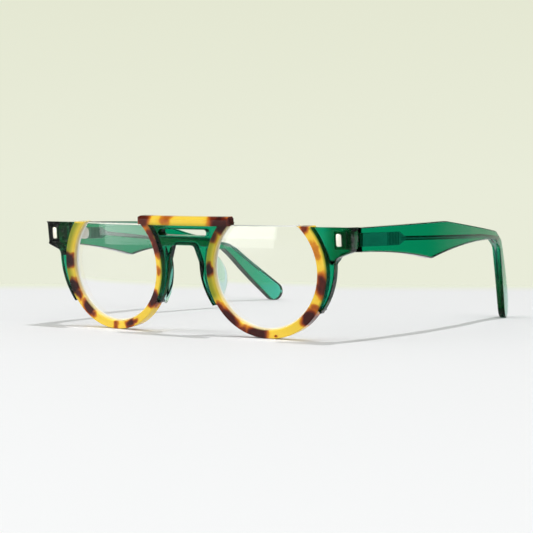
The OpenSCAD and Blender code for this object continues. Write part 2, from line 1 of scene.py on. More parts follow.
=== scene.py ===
# %% [markdown]
# # Round eyeglasses with flat-topped half-rims
# The pair is made of two acetates: a tortoise sheet for the two open rims and the brow bar,
# and a translucent green for the bridge, the end pieces and the side arms. The CAD frame
# gives every size and place; here each acetate piece gets soft polished edges, and each
# material gets the depth, blotches and gloss that the real one shows.

# %% Load the frame
import math
import bpy
import numpy as np
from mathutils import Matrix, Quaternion, Vector, noise
from mathutils.geometry import delaunay_2d_cdt


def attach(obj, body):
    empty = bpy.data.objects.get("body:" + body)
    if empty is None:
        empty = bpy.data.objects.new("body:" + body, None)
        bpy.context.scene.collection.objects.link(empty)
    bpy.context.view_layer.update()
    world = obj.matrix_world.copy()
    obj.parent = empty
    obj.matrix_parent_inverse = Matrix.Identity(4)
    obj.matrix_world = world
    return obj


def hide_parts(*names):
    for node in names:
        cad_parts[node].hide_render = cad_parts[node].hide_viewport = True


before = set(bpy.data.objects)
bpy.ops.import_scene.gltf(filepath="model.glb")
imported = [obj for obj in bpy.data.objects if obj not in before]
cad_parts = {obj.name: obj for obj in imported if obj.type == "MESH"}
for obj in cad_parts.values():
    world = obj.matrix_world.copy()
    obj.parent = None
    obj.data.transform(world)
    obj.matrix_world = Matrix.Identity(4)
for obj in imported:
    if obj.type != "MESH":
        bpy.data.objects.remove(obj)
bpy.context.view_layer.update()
print("CAD nodes:", sorted(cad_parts))

# %% [markdown]
# ## Sizes
# All sizes are in millimetres, as a frame maker gives them, and the meshes are scaled to
# metres at the very end. They repeat the named sizes of the CAD source. Two of them place
# the whole pair over the origin: how far it is moved forward, and how far it is let down
# so that the rims touch the floor.

# %% Sizes of the front
EYE_R, RIM_W, RIM_EXTRA, SHEET = 20.7, 3.0, 1.0, 4.0
RIM_R = EYE_R + RIM_W
LENS_X, LENS_H, FLAT_TOP = 33.6, RIM_R, 15.5
TOP_H = LENS_H + FLAT_TOP
BAR_TOP, BAR_BOTTOM, BAR_HALF = TOP_H + 2.9, TOP_H - 0.3, 20.6
LEAN, FACE = math.radians(5), math.radians(4)
BOW_HALF = LENS_X - math.sqrt(RIM_R**2 - (FLAT_TOP - 0.3)**2) - 0.4
BOW_R = BOW_HALF / math.sin(FACE)
BOW_SAG = BOW_R * (1 - math.cos(FACE))
BOW_ARC = BOW_R * FACE
LENS_A = BOW_ARC + (LENS_X - BOW_HALF) / math.cos(FACE)
LENS_Y = BOW_SAG + (LENS_X - BOW_HALF) * math.tan(FACE)
DROP = LENS_Y * math.sin(LEAN)
print(f"bow radius {BOW_R:.1f} mm, lens centre {LENS_A:.2f} mm along the sheet")

# %% Sizes of the side arms
END_HALF, END_DEPTH, END_H = 67.8, 7.0, 9.0
ARM_REACH, ARM_T, ARM_H, FLARE = 130.0, 4.0, 8.3, math.radians(6.4)
ARM_BOW_R, EAR_START, EAR_R, EAR_INNER_R = 370.0, 88.0, 175.0, 240.0
ARM_Z = TOP_H * math.cos(LEAN) - 0.15
JOINT_DEPTH = (LENS_Y + (END_HALF - LENS_X) * math.tan(FACE) + END_DEPTH) * math.cos(LEAN) \
    - (TOP_H - END_H / 2) * math.sin(LEAN)
EAR_ANGLE = math.asin(EAR_START / ARM_BOW_R)


def side_of(y, bow_r, ear_r):
    """Side of one face of an arm at a distance behind the joint: a bow, then the ear's curve"""
    turn_x = -ARM_BOW_R + (bow_r - ear_r) * math.cos(EAR_ANGLE)
    turn_y = (bow_r - ear_r) * math.sin(EAR_ANGLE)
    bow = -ARM_BOW_R + np.sqrt(bow_r**2 - np.minimum(y, EAR_START)**2)
    return np.where(y < EAR_START, bow, turn_x + np.sqrt(ear_r**2 - (y - turn_y)**2))


def outer_side(y):
    """Side of the outer face"""
    return side_of(y, ARM_BOW_R, EAR_R)


def inner_side(y):
    """Side of the inner face"""
    return side_of(y, ARM_BOW_R - ARM_T, EAR_INNER_R)


BACK_END = JOINT_DEPTH + ARM_REACH * math.cos(FLARE) \
    - float(inner_side(np.array(ARM_REACH))) * math.sin(FLARE)
MID_Y = (-(BAR_TOP - 1.2) * math.sin(LEAN) + BACK_END) / 2
print(f"joint {JOINT_DEPTH:.2f} mm deep, middle of the pair at {MID_Y:.2f} mm")

# %% [markdown]
# ## Maps from flat sheets to the bent object
# An acetate front is cut out of a flat sheet and then heated and bent over a form. The
# script works the same way: a piece is drawn flat, with soft edges, and a map then bends
# it. One map bows and leans the front, the other one bows a side arm and flares it out.


# %% The map of the front
def leaned(x, d, h):
    """Leans the upright front (side, depth, height) and puts it over the origin"""
    return np.stack([x, d * math.cos(LEAN) - h * math.sin(LEAN) - MID_Y,
                     d * math.sin(LEAN) + h * math.cos(LEAN) - DROP], 1)


def bend_front(p):
    """Flat sheet (distance from the middle, depth, height) to the leaning, bowed front"""
    a, t, h = p[:, 0], p[:, 1], p[:, 2]
    far = np.abs(a) - BOW_ARC
    angle = np.clip(a, -BOW_ARC, BOW_ARC) / BOW_R
    straight = np.maximum(far, 0)
    x = BOW_R * np.sin(angle) + np.sign(a) * straight * math.cos(FACE) - t * np.sin(angle)
    d = BOW_R * (1 - np.cos(angle)) + straight * math.sin(FACE) + t * np.cos(angle)
    return leaned(x, d, h)


print("lens centre at", bend_front(np.array([[LENS_A, 0, LENS_H]]))[0].round(2), "mm")

# %% The map of a side arm
JOINT_RUN = 9.0


def bend_arm(p):
    """Flat arm (distance behind the joint, depth, height) to the bowed left arm, flared out"""
    y, t, z = p[:, 0], p[:, 1], p[:, 2]
    x = outer_side(y) + (inner_side(y) - outer_side(y)) * t / ARM_T
    wx = END_HALF + x * math.cos(FLARE) + y * math.sin(FLARE)
    wy = JOINT_DEPTH - MID_Y - x * math.sin(FLARE) + y * math.cos(FLARE)
    # The front end follows the slanting back of the end piece, over its first JOINT_RUN
    joint = (LENS_Y + (wx - LENS_X) * math.tan(FACE) + (END_DEPTH + 0.1) / math.cos(FACE)
             - (z + DROP) * math.sin(LEAN)) / math.cos(LEAN) - MID_Y
    start = JOINT_DEPTH - MID_Y - x * math.sin(FLARE)
    return np.stack([wx, wy + (joint - start) * np.clip(1 - y / JOINT_RUN, 0, 1), z], 1)


# "left" is the wearer's left, at positive x. The right side is its mirror image
SIDES = {"left": 1, "right": -1}
print("end of the left arm at", bend_arm(np.array([[ARM_REACH, 0, 0]]))[0].round(2), "mm")

# %% [markdown]
# ## A plate with soft edges
# Every acetate piece is a plate: an outline, two faces and an edge between them. On the
# real pair the tumbling drum rounds each edge, more where it is free and hardly at all
# where two acetates are glued. A bevel modifier gives one width everywhere, so the plate
# is built by hand instead: rings of points run round the outline, each ring a step further
# along the edge's section, and the faces are filled with a fine even net. Each point also
# gets its true normal, so that the gloss and the light in the green run clean.


# %% Outline helpers
def arc(centre, radius, start, end, step=0.5):
    """Points of an arc in degrees, a step apart"""
    count = max(2, int(abs(math.radians(end - start)) * radius / step) + 1)
    t = np.radians(np.linspace(start, end, count))
    return np.stack([centre[0] + radius * np.cos(t), centre[1] + radius * np.sin(t)], 1)


def between(a, b, step):
    """Even points on the way from a to b, without its ends"""
    n = int(np.hypot(*(b - a)) / step)
    return [a + (b - a) * i / (n + 1) for i in range(1, n + 1)]


def outline(*stretches, step=0.5):
    """Joins stretches (points, edge section) into one counterclockwise loop of short segments"""
    points, edges, same = [], [], 0.02
    for pts, edge in stretches:
        for p in np.atleast_2d(np.asarray(pts, float)):
            if points and np.hypot(*(p - points[-1])) < same:
                continue
            new = (between(points[-1], p, step) if points else []) + [p]
            points += new
            edges += [edge] * len(new)
    if np.hypot(*(points[0] - points[-1])) < same:
        points.pop(), edges.pop()
    else:
        new = between(points[-1], points[0], step)
        points += new
        edges += [edges[-1]] * len(new)
    loop = np.array(points)
    x, y = loop[:, 0], loop[:, 1]
    if np.sum(x * np.roll(y, -1) - np.roll(x, -1) * y) < 0:
        loop, edges = loop[::-1], edges[::-1]
    return loop, edges


def outward(loop):
    """Miter vector and unit normal at each point of a loop that runs counterclockwise"""
    ahead = np.roll(loop, -1, 0) - loop
    ahead /= np.linalg.norm(ahead, axis=1, keepdims=True)
    normal = np.stack([ahead[:, 1], -ahead[:, 0]], 1)
    before = np.roll(normal, 1, 0)
    both = normal + before
    scale = 1 + np.sum(normal * before, axis=1, keepdims=True)
    miter = both / np.maximum(scale, 0.45)
    return miter, both / np.linalg.norm(both, axis=1, keepdims=True)


# %% Edge sections
def rounded(radius):
    """Section of a rounded edge: how far in, how deep, and the surface's tilt from the face"""
    t = np.radians([0, 18, 36, 54, 72, 90])
    return radius * (1 - np.sin(t)), radius * (1 - np.cos(t)), t


def chamfered(width, depth=None):
    """Section of a flat bevel with its two corners broken"""
    depth = depth or width
    share = np.array([0, 0.1, 0.25, 0.75, 0.9, 1])
    slope = math.atan2(depth, width)
    tilt = np.array([0, 0.5 * slope, slope, slope, (slope + math.pi / 2) / 2, math.pi / 2])
    return width * (1 - share), depth * share * np.array([1, 0.8, 1, 1, 1, 1]), tilt


# %% Fill a face with an even net
def inside(points, loops):
    """Even-odd test of points against closed loops"""
    hit = np.zeros(len(points), bool)
    for loop in loops:
        a, b = loop, np.roll(loop, -1, 0)
        for (x0, y0), (x1, y1) in zip(a, b):
            if y0 == y1:
                continue
            rows = (points[:, 1] > min(y0, y1)) & (points[:, 1] <= max(y0, y1))
            cross = x0 + (points[:, 1] - y0) * (x1 - x0) / (y1 - y0)
            hit ^= rows & (points[:, 0] < cross)
    return hit


def fill(loops, spacing):
    """Points, triangles and the count of border points of an even net inside the loops"""
    border = np.concatenate(loops)
    low, high = border.min(0), border.max(0)
    xs = np.arange(low[0], high[0], spacing)
    ys = np.arange(low[1], high[1], spacing * 0.866)
    grid = np.array([(x + (i % 2) * spacing / 2, y) for i, y in enumerate(ys) for x in xs])
    grid = grid[inside(grid, loops)]
    near = np.full(len(grid), 1e9)
    for part in np.array_split(border, max(1, len(border) // 400)):
        near = np.minimum(near, np.linalg.norm(grid[:, None] - part[None], axis=2).min(1))
    points = np.concatenate([border, grid[near > 0.5 * spacing]])
    edges, start = [], 0
    for loop in loops:
        n = len(loop)
        edges += [(start + i, start + (i + 1) % n) for i in range(n)]
        start += n
    made, _, tris, origin, _, _ = delaunay_2d_cdt([Vector(p) for p in points], edges, [], 0, 1e-5)
    # A point without an origin is new, made where two edges nearly touch
    made, tris = np.array([tuple(v) for v in made]), np.array(tris)
    index = np.array([given[0] if given else -1 for given in origin])
    extra = np.where(index < 0)[0]
    index[extra] = len(points) + np.arange(len(extra))
    points = np.concatenate([points, made[extra]])
    return points, index[tris[inside(made[tris].mean(1), loops)]], len(border)


# %% The plate builder
def plate(name, loops, thickness, bend, spacing, side=1):
    """Builds one closed plate. loops are (points, sections), the outside first, then holes.
    A section is the front edge, the wall as steps of (swell, depth), and the back edge"""
    verts, normals, quads, ends, total = [], [], [], [], 0
    for number, (loop, edges) in enumerate(loops):
        miter, normal = outward(loop)
        if number:
            miter, normal = -miter, -normal
        n, (fronts, walls, backs) = len(loop), (np.array(part) for part in zip(*edges))
        # Each step is a ring of points: inset, depth, and how far its normal points out or back
        steps = [(inset, depth, np.sin(tilt), -np.cos(tilt))
                 for inset, depth, tilt in fronts.transpose(2, 1, 0)]
        steps += [(-swell, depth, np.ones(n), np.zeros(n)) for swell, depth in walls.transpose(1, 2, 0)]
        steps += [(inset, thickness - depth, np.sin(tilt), np.cos(tilt))
                  for inset, depth, tilt in backs.transpose(2, 1, 0)[::-1]]
        i, j, first = np.arange(n), (np.arange(n) + 1) % n, total
        for inset, depth, out, back in steps:
            xy = loop - miter * inset[:, None]
            verts.append(np.stack([xy[:, 0], depth, xy[:, 1]], 1))
            normals.append(np.stack([normal[:, 0] * out, back, normal[:, 1] * out], 1))
            if total > first:
                quad = [total - n + i, total - n + j, total + j, total + i]
                quads.append(np.stack(quad if number else quad[::-1], 1))
            total += n
        ends.append([(first, verts[-len(steps)]), (total - n, verts[-1])])
    tri_sets = []
    for end, sign in ((0, -1), (1, 1)):
        borders = [pair[end] for pair in ends]
        points, tris, count = fill([pts[:, [0, 2]] for _, pts in borders], spacing)
        inner = points[count:]
        level = np.concatenate([pts[:, 1] for _, pts in borders]).mean()
        ids = [first + np.arange(len(pts)) for first, pts in borders] + [total + np.arange(len(inner))]
        tris = np.concatenate(ids)[tris]
        tri_sets.append(tris[:, ::-1] if end else tris)
        total += len(inner)
        verts.append(np.stack([inner[:, 0], np.full(len(inner), level), inner[:, 1]], 1))
        normals.append(np.tile([0.0, sign, 0.0], (len(inner), 1)))
    return finish_mesh(name, np.concatenate(verts), np.concatenate(normals),
                       np.concatenate(quads), np.concatenate(tri_sets), bend, side)


# %% From flat points to a bent mesh
def finish_mesh(name, points, normals, quads, tris, bend, side):
    """Bends flat points and normals, puts them on a side (1 or -1) and makes the object"""
    # Normals turn with the inverse transpose of the map's slopes, taken over 0.01 mm
    e = 0.01
    placed = bend(points) * [side, 1, 1]
    jac = np.stack([(bend(points + e * axis) - bend(points - e * axis)) * [side, 1, 1] / (2 * e)
                    for axis in np.eye(3)], 2)
    turned = np.linalg.solve(np.transpose(jac, (0, 2, 1)), normals[:, :, None])[:, :, 0]
    turned /= np.maximum(np.linalg.norm(turned, axis=1, keepdims=True), 1e-9)
    polys = [tuple(q) for q in quads] + [tuple(t) for t in tris]
    mesh = bpy.data.meshes.new(name)
    mesh.from_pydata((placed * 0.001).tolist(), [], polys)
    mesh.update()
    corners = [(q[0], q[i], q[i + 1]) for q in polys for i in range(1, len(q) - 1)]
    a, b, c = (placed[list(ids)] for ids in zip(*corners))
    if np.sum(a * np.cross(b, c)) < 0:
        mesh.flip_normals()
    mesh.shade_smooth()
    mesh.normals_split_custom_set_from_vertices(turned.tolist())
    piece = bpy.data.objects.new(name, mesh)
    bpy.context.scene.collection.objects.link(piece)
    wide, long, high = placed.max(0) - placed.min(0)
    print(f"{name}: {len(points)} points, {wide:.1f} x {long:.1f} x {high:.1f} mm")
    return piece


# %% [markdown]
# ## The tortoise front
# Two open rims and the brow bar are one piece of tortoise sheet. The rims' openings have a
# bevel in front and a groove for the lens, the bar has a long bevel along its top, and the
# edges that are glued to the green are left nearly sharp.

# %% Edges of the front's pieces
SEAT, GROOVE = SHEET / 2, 0.6
WALL = [(0, SEAT - GROOVE), (0, SEAT), (0, SEAT + GROOVE)]
LENS_GROOVE = [(0, SEAT - GROOVE), (GROOVE, SEAT), (0, SEAT + GROOVE)]
FREE, GLUED, CUT, SLOT = ((rounded(r), WALL, rounded(r)) for r in (0.4, 0.08, 0.2, 0.35))
OPENING = chamfered(0.45, 0.5), LENS_GROOVE, rounded(0.35)
BAR_EDGE = chamfered(1.25, 1.2), WALL, rounded(0.4)
BAR_END = rounded(0.35), WALL, chamfered(1.1)
END_SIDE = chamfered(0.8), WALL, rounded(0.12)
END_LOW = rounded(0.5), WALL, chamfered(1.2, 1.3)
print("free edges are rounded by", FREE[0][0][0], "mm, glued ones by", GLUED[0][0][0], "mm")


# %% Outline of the tortoise front
def mirrored(points):
    """The same stretch on the other side, run the other way"""
    return (np.atleast_2d(points) * [-1, 1])[::-1]


def angle_at(height, radius):
    """Degrees round a circle at which it reaches a height over its centre"""
    return math.degrees(math.asin(height / radius))


# Where the green ends on each rim: degrees round the lens, and degrees below its middle
NOSE_FOOT, BAND_FOOT = 212, 35
# The left rim runs from its nose end round to its temple end, and back along the opening
EYE, low = (LENS_A, LENS_H), BAR_BOTTOM - LENS_H
shifted = (LENS_A + RIM_EXTRA, LENS_H)
opening = arc(EYE, EYE_R, 360 + angle_at(FLAT_TOP, EYE_R), 180 - angle_at(low, EYE_R))
left_rim = [(arc(EYE, RIM_R, 180 - angle_at(low, RIM_R), NOSE_FOOT), GLUED),
            (arc(EYE, RIM_R, NOSE_FOOT, 270), FREE),
            (arc(shifted, RIM_R, 270, 360 - BAND_FOOT), FREE),
            (arc(shifted, RIM_R, 360 - BAND_FOOT, 360 + angle_at(FLAT_TOP, RIM_R)), GLUED),
            (opening[:1], CUT), (opening, OPENING)]
right_rim = [(mirrored(p), k) for p, k in left_rim[::-1]]
bar_corner = 0.6
front_loop = outline(
    ([[-BAR_HALF + bar_corner, BAR_TOP]], BAR_EDGE),
    ([[-BAR_HALF, BAR_TOP - bar_corner]], BAR_END),
    ([[-BAR_HALF, BAR_BOTTOM]], BAR_END), *right_rim, *left_rim,
    ([[BAR_HALF, BAR_BOTTOM], [BAR_HALF, BAR_TOP - bar_corner]], BAR_END),
    ([[BAR_HALF - bar_corner, BAR_TOP]], BAR_END),
    ([[-BAR_HALF + bar_corner, BAR_TOP]], BAR_EDGE), step=0.45)
tortoise = plate("tortoise_front", [front_loop], SHEET, bend_front, 0.5)

# %% [markdown]
# ## The green bridge
# The bridge fills the space between the rims under the bar. It has a long slot, an arch
# over the nose with two round corners, and flanks that follow the rims and flare out
# towards the back, so that they sit softly on the nose.

# %% Outline of the bridge
ARCH_H, ARCH_HALF, ARCH_R, NOSE_BAND = LENS_H + 8.2, 5.3, 1.8, 1.9
FLANK_R, FLANK_C, FLANK_END = RIM_R + NOSE_BAND, (LENS_X - 1.1, LENS_H + 2.3), 216.5
SLOT_HALF, SLOT_H = 10.6, 2.3
SLOT_MID = BAR_BOTTOM - 1.3 - SLOT_H / 2
# Glued pieces lap over each other by this much, so that no light comes through the seam
LAP = 0.05


def nose_edge(f, cut):
    """A nose edge that flares out to the back by a share f, or is cut back behind"""
    inset, depth, tilt = rounded(0.15 + 0.35 * f)
    share = np.linspace(1, 0, len(tilt))
    near = 0.48 + 0.52 * f
    swell = [(-0.25 * f, 1.3 * near), (-0.45 * f, 2.0 * near), (-0.62 * f, 2.7 * near)]
    slope = np.where((share > 0) & (share < 1), 0.8, tilt)
    rear = (inset + 0.72 * f + cut * share, depth + 2.4 * (1 - f) * (1 - share),
            f * tilt + (1 - f) * slope)
    return (inset, depth, tilt), swell, rear


seam = arc(EYE, RIM_R - LAP, 180 - angle_at(low, RIM_R), NOSE_FOOT)
flank = arc(FLANK_C, FLANK_R, FLANK_END, 180)
# From the foot (0) to the arch (1): the lower flank is cut back behind, the upper one flares
rise = (flank[:, 1] - flank[0, 1]) / (flank[-1, 1] - flank[0, 1])
flare = np.clip((rise - 0.62) / 0.28, 0.02, 1)
cut_back = (1 - flare) * (1.1 + 1.5 * rise)
arch_corner = arc((ARCH_HALF - ARCH_R, ARCH_H - ARCH_R), ARCH_R, 10, 90, step=0.3)
half = [(seam, GLUED), (flank[:1], GLUED),
        *[(p, nose_edge(f, c)) for p, f, c in zip(flank, flare, cut_back)],
        (arch_corner, nose_edge(1.0, 0.0))]
bridge_loop = outline(
    ([[0, BAR_BOTTOM + LAP]], GLUED), *half,
    *[(mirrored(p), k) for p, k in half[::-1]], ([[0, BAR_BOTTOM + LAP]], GLUED))
slot_ends = SLOT_HALF - SLOT_H / 2
slot_loop = outline((arc((slot_ends, SLOT_MID), SLOT_H / 2, -90, 90, step=0.25), SLOT),
                    (arc((-slot_ends, SLOT_MID), SLOT_H / 2, 90, 270, step=0.25), SLOT))
bridge = plate("green_bridge", [bridge_loop, slot_loop], SHEET, bend_front, 0.9)

# %% [markdown]
# ## The green end pieces
# Each end piece starts as the same sheet, gets thicker towards the joint, and runs down
# the outside of the rim as a thin band that ends in a small step. Its back carries the
# front half of the hinge.

# %% Outline of an end piece
END_U = (END_HALF - LENS_X) / math.cos(FACE)
BAND_U, BAND_V, BAND_R = 1.2, 2.7, 26.45
END_FOOT = FLAT_TOP - END_H
LEAF_U = END_U - 5.8
RAMP_U = LEAF_U - 2.3 - 0.5
seam = arc((RIM_EXTRA, 0), RIM_R - LAP, angle_at(FLAT_TOP, RIM_R - LAP), -BAND_FOOT + 1)
band = arc((BAND_U, BAND_V), BAND_R, -BAND_FOOT - 5.2, 1)
fillet = [[27.75, 3.4], [28.1, 4.2], [28.7, 4.75], [29.68, 5.1]]
under = [[END_U - 0.95, END_FOOT - 0.05], [END_U - 0.5, END_FOOT + 0.25],
         [END_U - 0.4, END_FOOT + 0.8]]
side = [[END_U - 0.3, 9.0], [END_U - 0.05, FLAT_TOP - 0.35]]
end_loop = outline(*[(np.atleast_2d(p) + EYE, k) for p, k in (
    (seam, GLUED), (band, END_LOW), (fillet, END_LOW), (under, END_LOW), (side, END_SIDE),
    ([[END_U - 0.35, FLAT_TOP]], CUT), (seam[:1], CUT))])


def from_eye(p):
    """How far points of a flat sheet lie sideways and upward from the lens centre"""
    return np.abs(p[:, 0]) - LENS_A, p[:, 2] - LENS_H


def bend_end(p):
    """The front's map for an end piece, which thickens towards the joint"""
    u, v = from_eye(p)
    ramp = np.clip((u - RAMP_U + 3) / 3, 0, 1) * (END_DEPTH - SHEET)
    low = np.clip((v - 2.4) / 1.4, 0, 1)
    thick = p.copy()
    thick[:, 1] = p[:, 1] * (1 + ramp * low * low * (3 - 2 * low) / SHEET)
    top = thick.copy()
    top[:, 2] = TOP_H
    placed = bend_front(thick)
    over = bend_front(top)[:, 2] - TOP_H * math.cos(LEAN)
    placed[:, 2] -= over * np.clip((v - END_FOOT) / END_H, 0, 1)
    return placed


# %% Build both end pieces
ends = {word: plate(f"green_end_{word}", [end_loop], SHEET, bend_end, 0.8, side)
        for word, side in SIDES.items()}

# %% [markdown]
# ## The side arms
# A side arm is a long plate that widens to a point below and a shoulder above, narrows
# over the ear and turns down into a tip. It is bowed outward along its length, and the ear
# piece curves in. Both arms are cut from one pattern and fitted a little differently.

# %% Helpers for the side view of an arm
PEAK_Y, PEAK_DROP, SHOULDER_Y, SHOULDER_RISE = 44.8, 3.6, 55, 1.3
WAIST_H, BEND_R, KNEE_DROP = 3.5, 1.8, 3.4
# The long edges are well rounded, the end at the joint is nearly square
ARM_EDGE = rounded(0.6), [(0.02, 1.4), (0.03, 2), (0.02, 2.6)], rounded(0.6)
ARM_CUT = rounded(0.15), [(0, 1), (0, 2), (0, 3)], rounded(0.15)


def on_circle(a):
    """Unit vector at an angle in degrees"""
    return np.array([math.cos(math.radians(a)), math.sin(math.radians(a))])


def tangent(p, p_r, q, q_r):
    """Directions in which two circles touch their common upper and lower tangents"""
    heading = math.degrees(math.atan2(q[1] - p[1], q[0] - p[0]))
    turn = math.degrees(math.acos((p_r - q_r) / np.linalg.norm(q - p)))
    return heading + turn, heading - turn


def soft_corner(before, corner, after, reach):
    """Rounds a corner with a short curve"""
    before, corner, after = (np.asarray(p, float) for p in (before, corner, after))
    a = corner + (before - corner) / np.linalg.norm(before - corner) * reach
    b = corner + (after - corner) / np.linalg.norm(after - corner) * reach
    t = np.linspace(0, 1, 9)[:, None]
    return (1 - t)**2 * a + 2 * t * (1 - t) * corner + t**2 * b


# %% Side view of an arm
def arm_loop(bend_at, dip, hang, knee_r, knee_y, tip_r):
    """Outline of an arm: distance behind the joint, and height. The arm dips by an angle in
    degrees, hang lowers its waist, and the ear piece runs over a knee to its round tip"""
    low = ARM_Z - ARM_H
    turn = math.radians(dip)

    def dipped(p):
        p = np.atleast_2d(np.asarray(p, float))
        y, z = p[:, 0], p[:, 1] - ARM_Z
        return np.stack([y * math.cos(turn) + z * math.sin(turn),
                         ARM_Z + z * math.cos(turn) - y * math.sin(turn)], 1)

    peak = np.array([PEAK_Y, low - PEAK_DROP])
    bend_low = np.array([bend_at, ARM_Z - WAIST_H - 2 * BEND_R])
    waist = bend_low + [-9, 0.5]
    front_r = (peak[0]**2 + PEAK_DROP**2) / (2 * PEAK_DROP)
    rear = waist - peak
    rear_r = (rear[0]**2 + rear[1]**2) / (2 * rear[1])
    front_arc = arc((0, low - front_r), front_r, 90, 90 - angle_at(peak[0], front_r))
    rear_arc = arc(waist - [0, rear_r], rear_r, 90 + angle_at(rear[0], rear_r), 90)
    point = soft_corner(front_arc[-4], peak, rear_arc[4], 0.8)
    lower = np.concatenate([front_arc[:-3], point, rear_arc[3:]])
    bend = dipped([bend_at, ARM_Z - WAIST_H - BEND_R])[0]
    knee = bend + [knee_y, -KNEE_DROP]
    tip = np.array([ARM_REACH - tip_r, tip_r])
    over, down = tangent(bend, BEND_R, knee, knee_r), tangent(knee, knee_r, tip, tip_r)
    shoulder = np.array([SHOULDER_Y, ARM_Z + SHOULDER_RISE])
    crest = soft_corner([0, ARM_Z], shoulder, bend + on_circle(90 - dip) * BEND_R, 2.5)
    upper = np.concatenate([[[0, ARM_Z]], crest])
    ear = np.concatenate([arc(bend, BEND_R, 90 - dip, over[0], 0.4),
                          arc(knee, knee_r, over[0], down[0], 0.4), arc(tip, tip_r, down[0], down[1])])
    inner_knee = knee + knee_r * on_circle((over[1] + down[1]) / 2)
    inner_bend = bend + BEND_R * on_circle(over[1])
    crook = soft_corner(tip + tip_r * on_circle(down[1]), inner_knee, inner_bend, 1.8)
    back = np.concatenate([crook, [inner_bend]])
    lower = dipped(lower[::-1])
    soft = [(p, ARM_EDGE) for p in (dipped(upper), ear, back, lower, dipped([[0, low]]))]
    loop, edges = outline(*soft, (dipped([[0, low], [0, ARM_Z]]), ARM_CUT), step=0.6)
    y = loop[:, 0]
    waist_y, ear_y = 84, 124
    spread = np.where(y < waist_y, 17, 25)
    loop[:, 1] -= hang * np.exp(-((y - waist_y) / spread)**2) * np.clip((ear_y - y) / 12, 0, 1)
    return loop, edges


# %% Build both arms
ARM_FITS = {"left": dict(bend_at=103.5, dip=0.0, hang=0.0, knee_r=1.9, knee_y=7.2, tip_r=5.5),
            "right": dict(bend_at=93.0, dip=2.4, hang=1.8, knee_r=2.5, knee_y=6.0, tip_r=4.6)}
arms = {word: plate(f"green_arm_{word}", [arm_loop(**ARM_FITS[word])], ARM_T, bend_arm, 1.3, side)
        for word, side in SIDES.items()}

# %% [markdown]
# ## Lenses
# Each lens is a thin clear meniscus, round below and cut flat on top, with a bevelled edge
# that sits in the rim's groove. Both faces are true spheres, so it bends the view behind it
# as a weak lens does.

# %% Build both lenses
LENS_FRONT_R, LENS_BACK_R, LENS_T = 125.0, 95.0, 1.6
# A bevel in the groove of the rim, and a flat, barely broken edge on top
BEDDED = rounded(0.05), [(0.25, 0.4), (0.5, 0.8), (0.25, 1.2)], rounded(0.05)
RIMLESS = rounded(0.12), [(0, 0.4), (0, 0.8), (0, 1.2)], rounded(0.12)


def sag(radius, r):
    """How far a sphere falls away from its top at a distance from the axis"""
    return radius - np.sqrt(radius**2 - r * r)


lens_r = EYE_R - 0.05
APEX = SEAT - (sag(LENS_FRONT_R, lens_r) + LENS_T + sag(LENS_BACK_R, lens_r)) / 2


def bend_lens(p):
    """Gives the flat disc its two spherical faces and sets it square in its rim"""
    u, v = from_eye(p)
    r = np.sqrt(u * u + v * v)
    front = APEX + sag(LENS_FRONT_R, r)
    back = APEX + LENS_T + sag(LENS_BACK_R, r)
    t = front + (back - front) * p[:, 1] / LENS_T
    return leaned(LENS_X + u * math.cos(FACE) - t * math.sin(FACE),
                  LENS_Y + u * math.sin(FACE) + t * math.cos(FACE), p[:, 2])


lens_end = angle_at(FLAT_TOP, lens_r)
lens_loop = outline(
    (arc(EYE, lens_r, 180 - lens_end, 360 + lens_end), BEDDED),
    ([[LENS_A - lens_r * math.cos(math.radians(lens_end)), TOP_H]], RIMLESS), step=0.6)
lenses = {word: plate(f"clear_lens_{word}", [lens_loop], LENS_T, bend_lens, 1.2, side)
          for word, side in SIDES.items()}

# %% [markdown]
# The faces of a lens are polished but its edge is ground, which leaves it matt. A value on
# the mesh tells the two apart: the points of the edge come first, in rings, and the middle
# rings get the roughness of a ground edge. The material reads it further down.

# %% Ground edge of the lenses
EDGE_RINGS, WALL_RINGS, GROUND_ROUGHNESS = 6, 3, 0.55
for lens in lenses.values():
    ring = len(lens_loop[0])
    ground = np.zeros(len(lens.data.vertices))
    ground[EDGE_RINGS * ring:(EDGE_RINGS + WALL_RINGS) * ring] = GROUND_ROUGHNESS
    lens.data.attributes.new("ground", "FLOAT", "POINT").data.foreach_set("value", ground)
    print(f"{lens.name}: {np.count_nonzero(ground)} points on the ground edge")

# %% [markdown]
# ## Nose pads
# Behind the nose side of each rim stands a clear green wing with a rounded edge. It starts
# inside the rim's back, leans towards the nose, and is highest in its middle.

# %% Build both nose pads
PAD_REACH, PAD_T, PAD_LEN, PAD_DROP, PAD_SPLAY = 4.8, 2.0, 21.0, 3.2, math.radians(40)


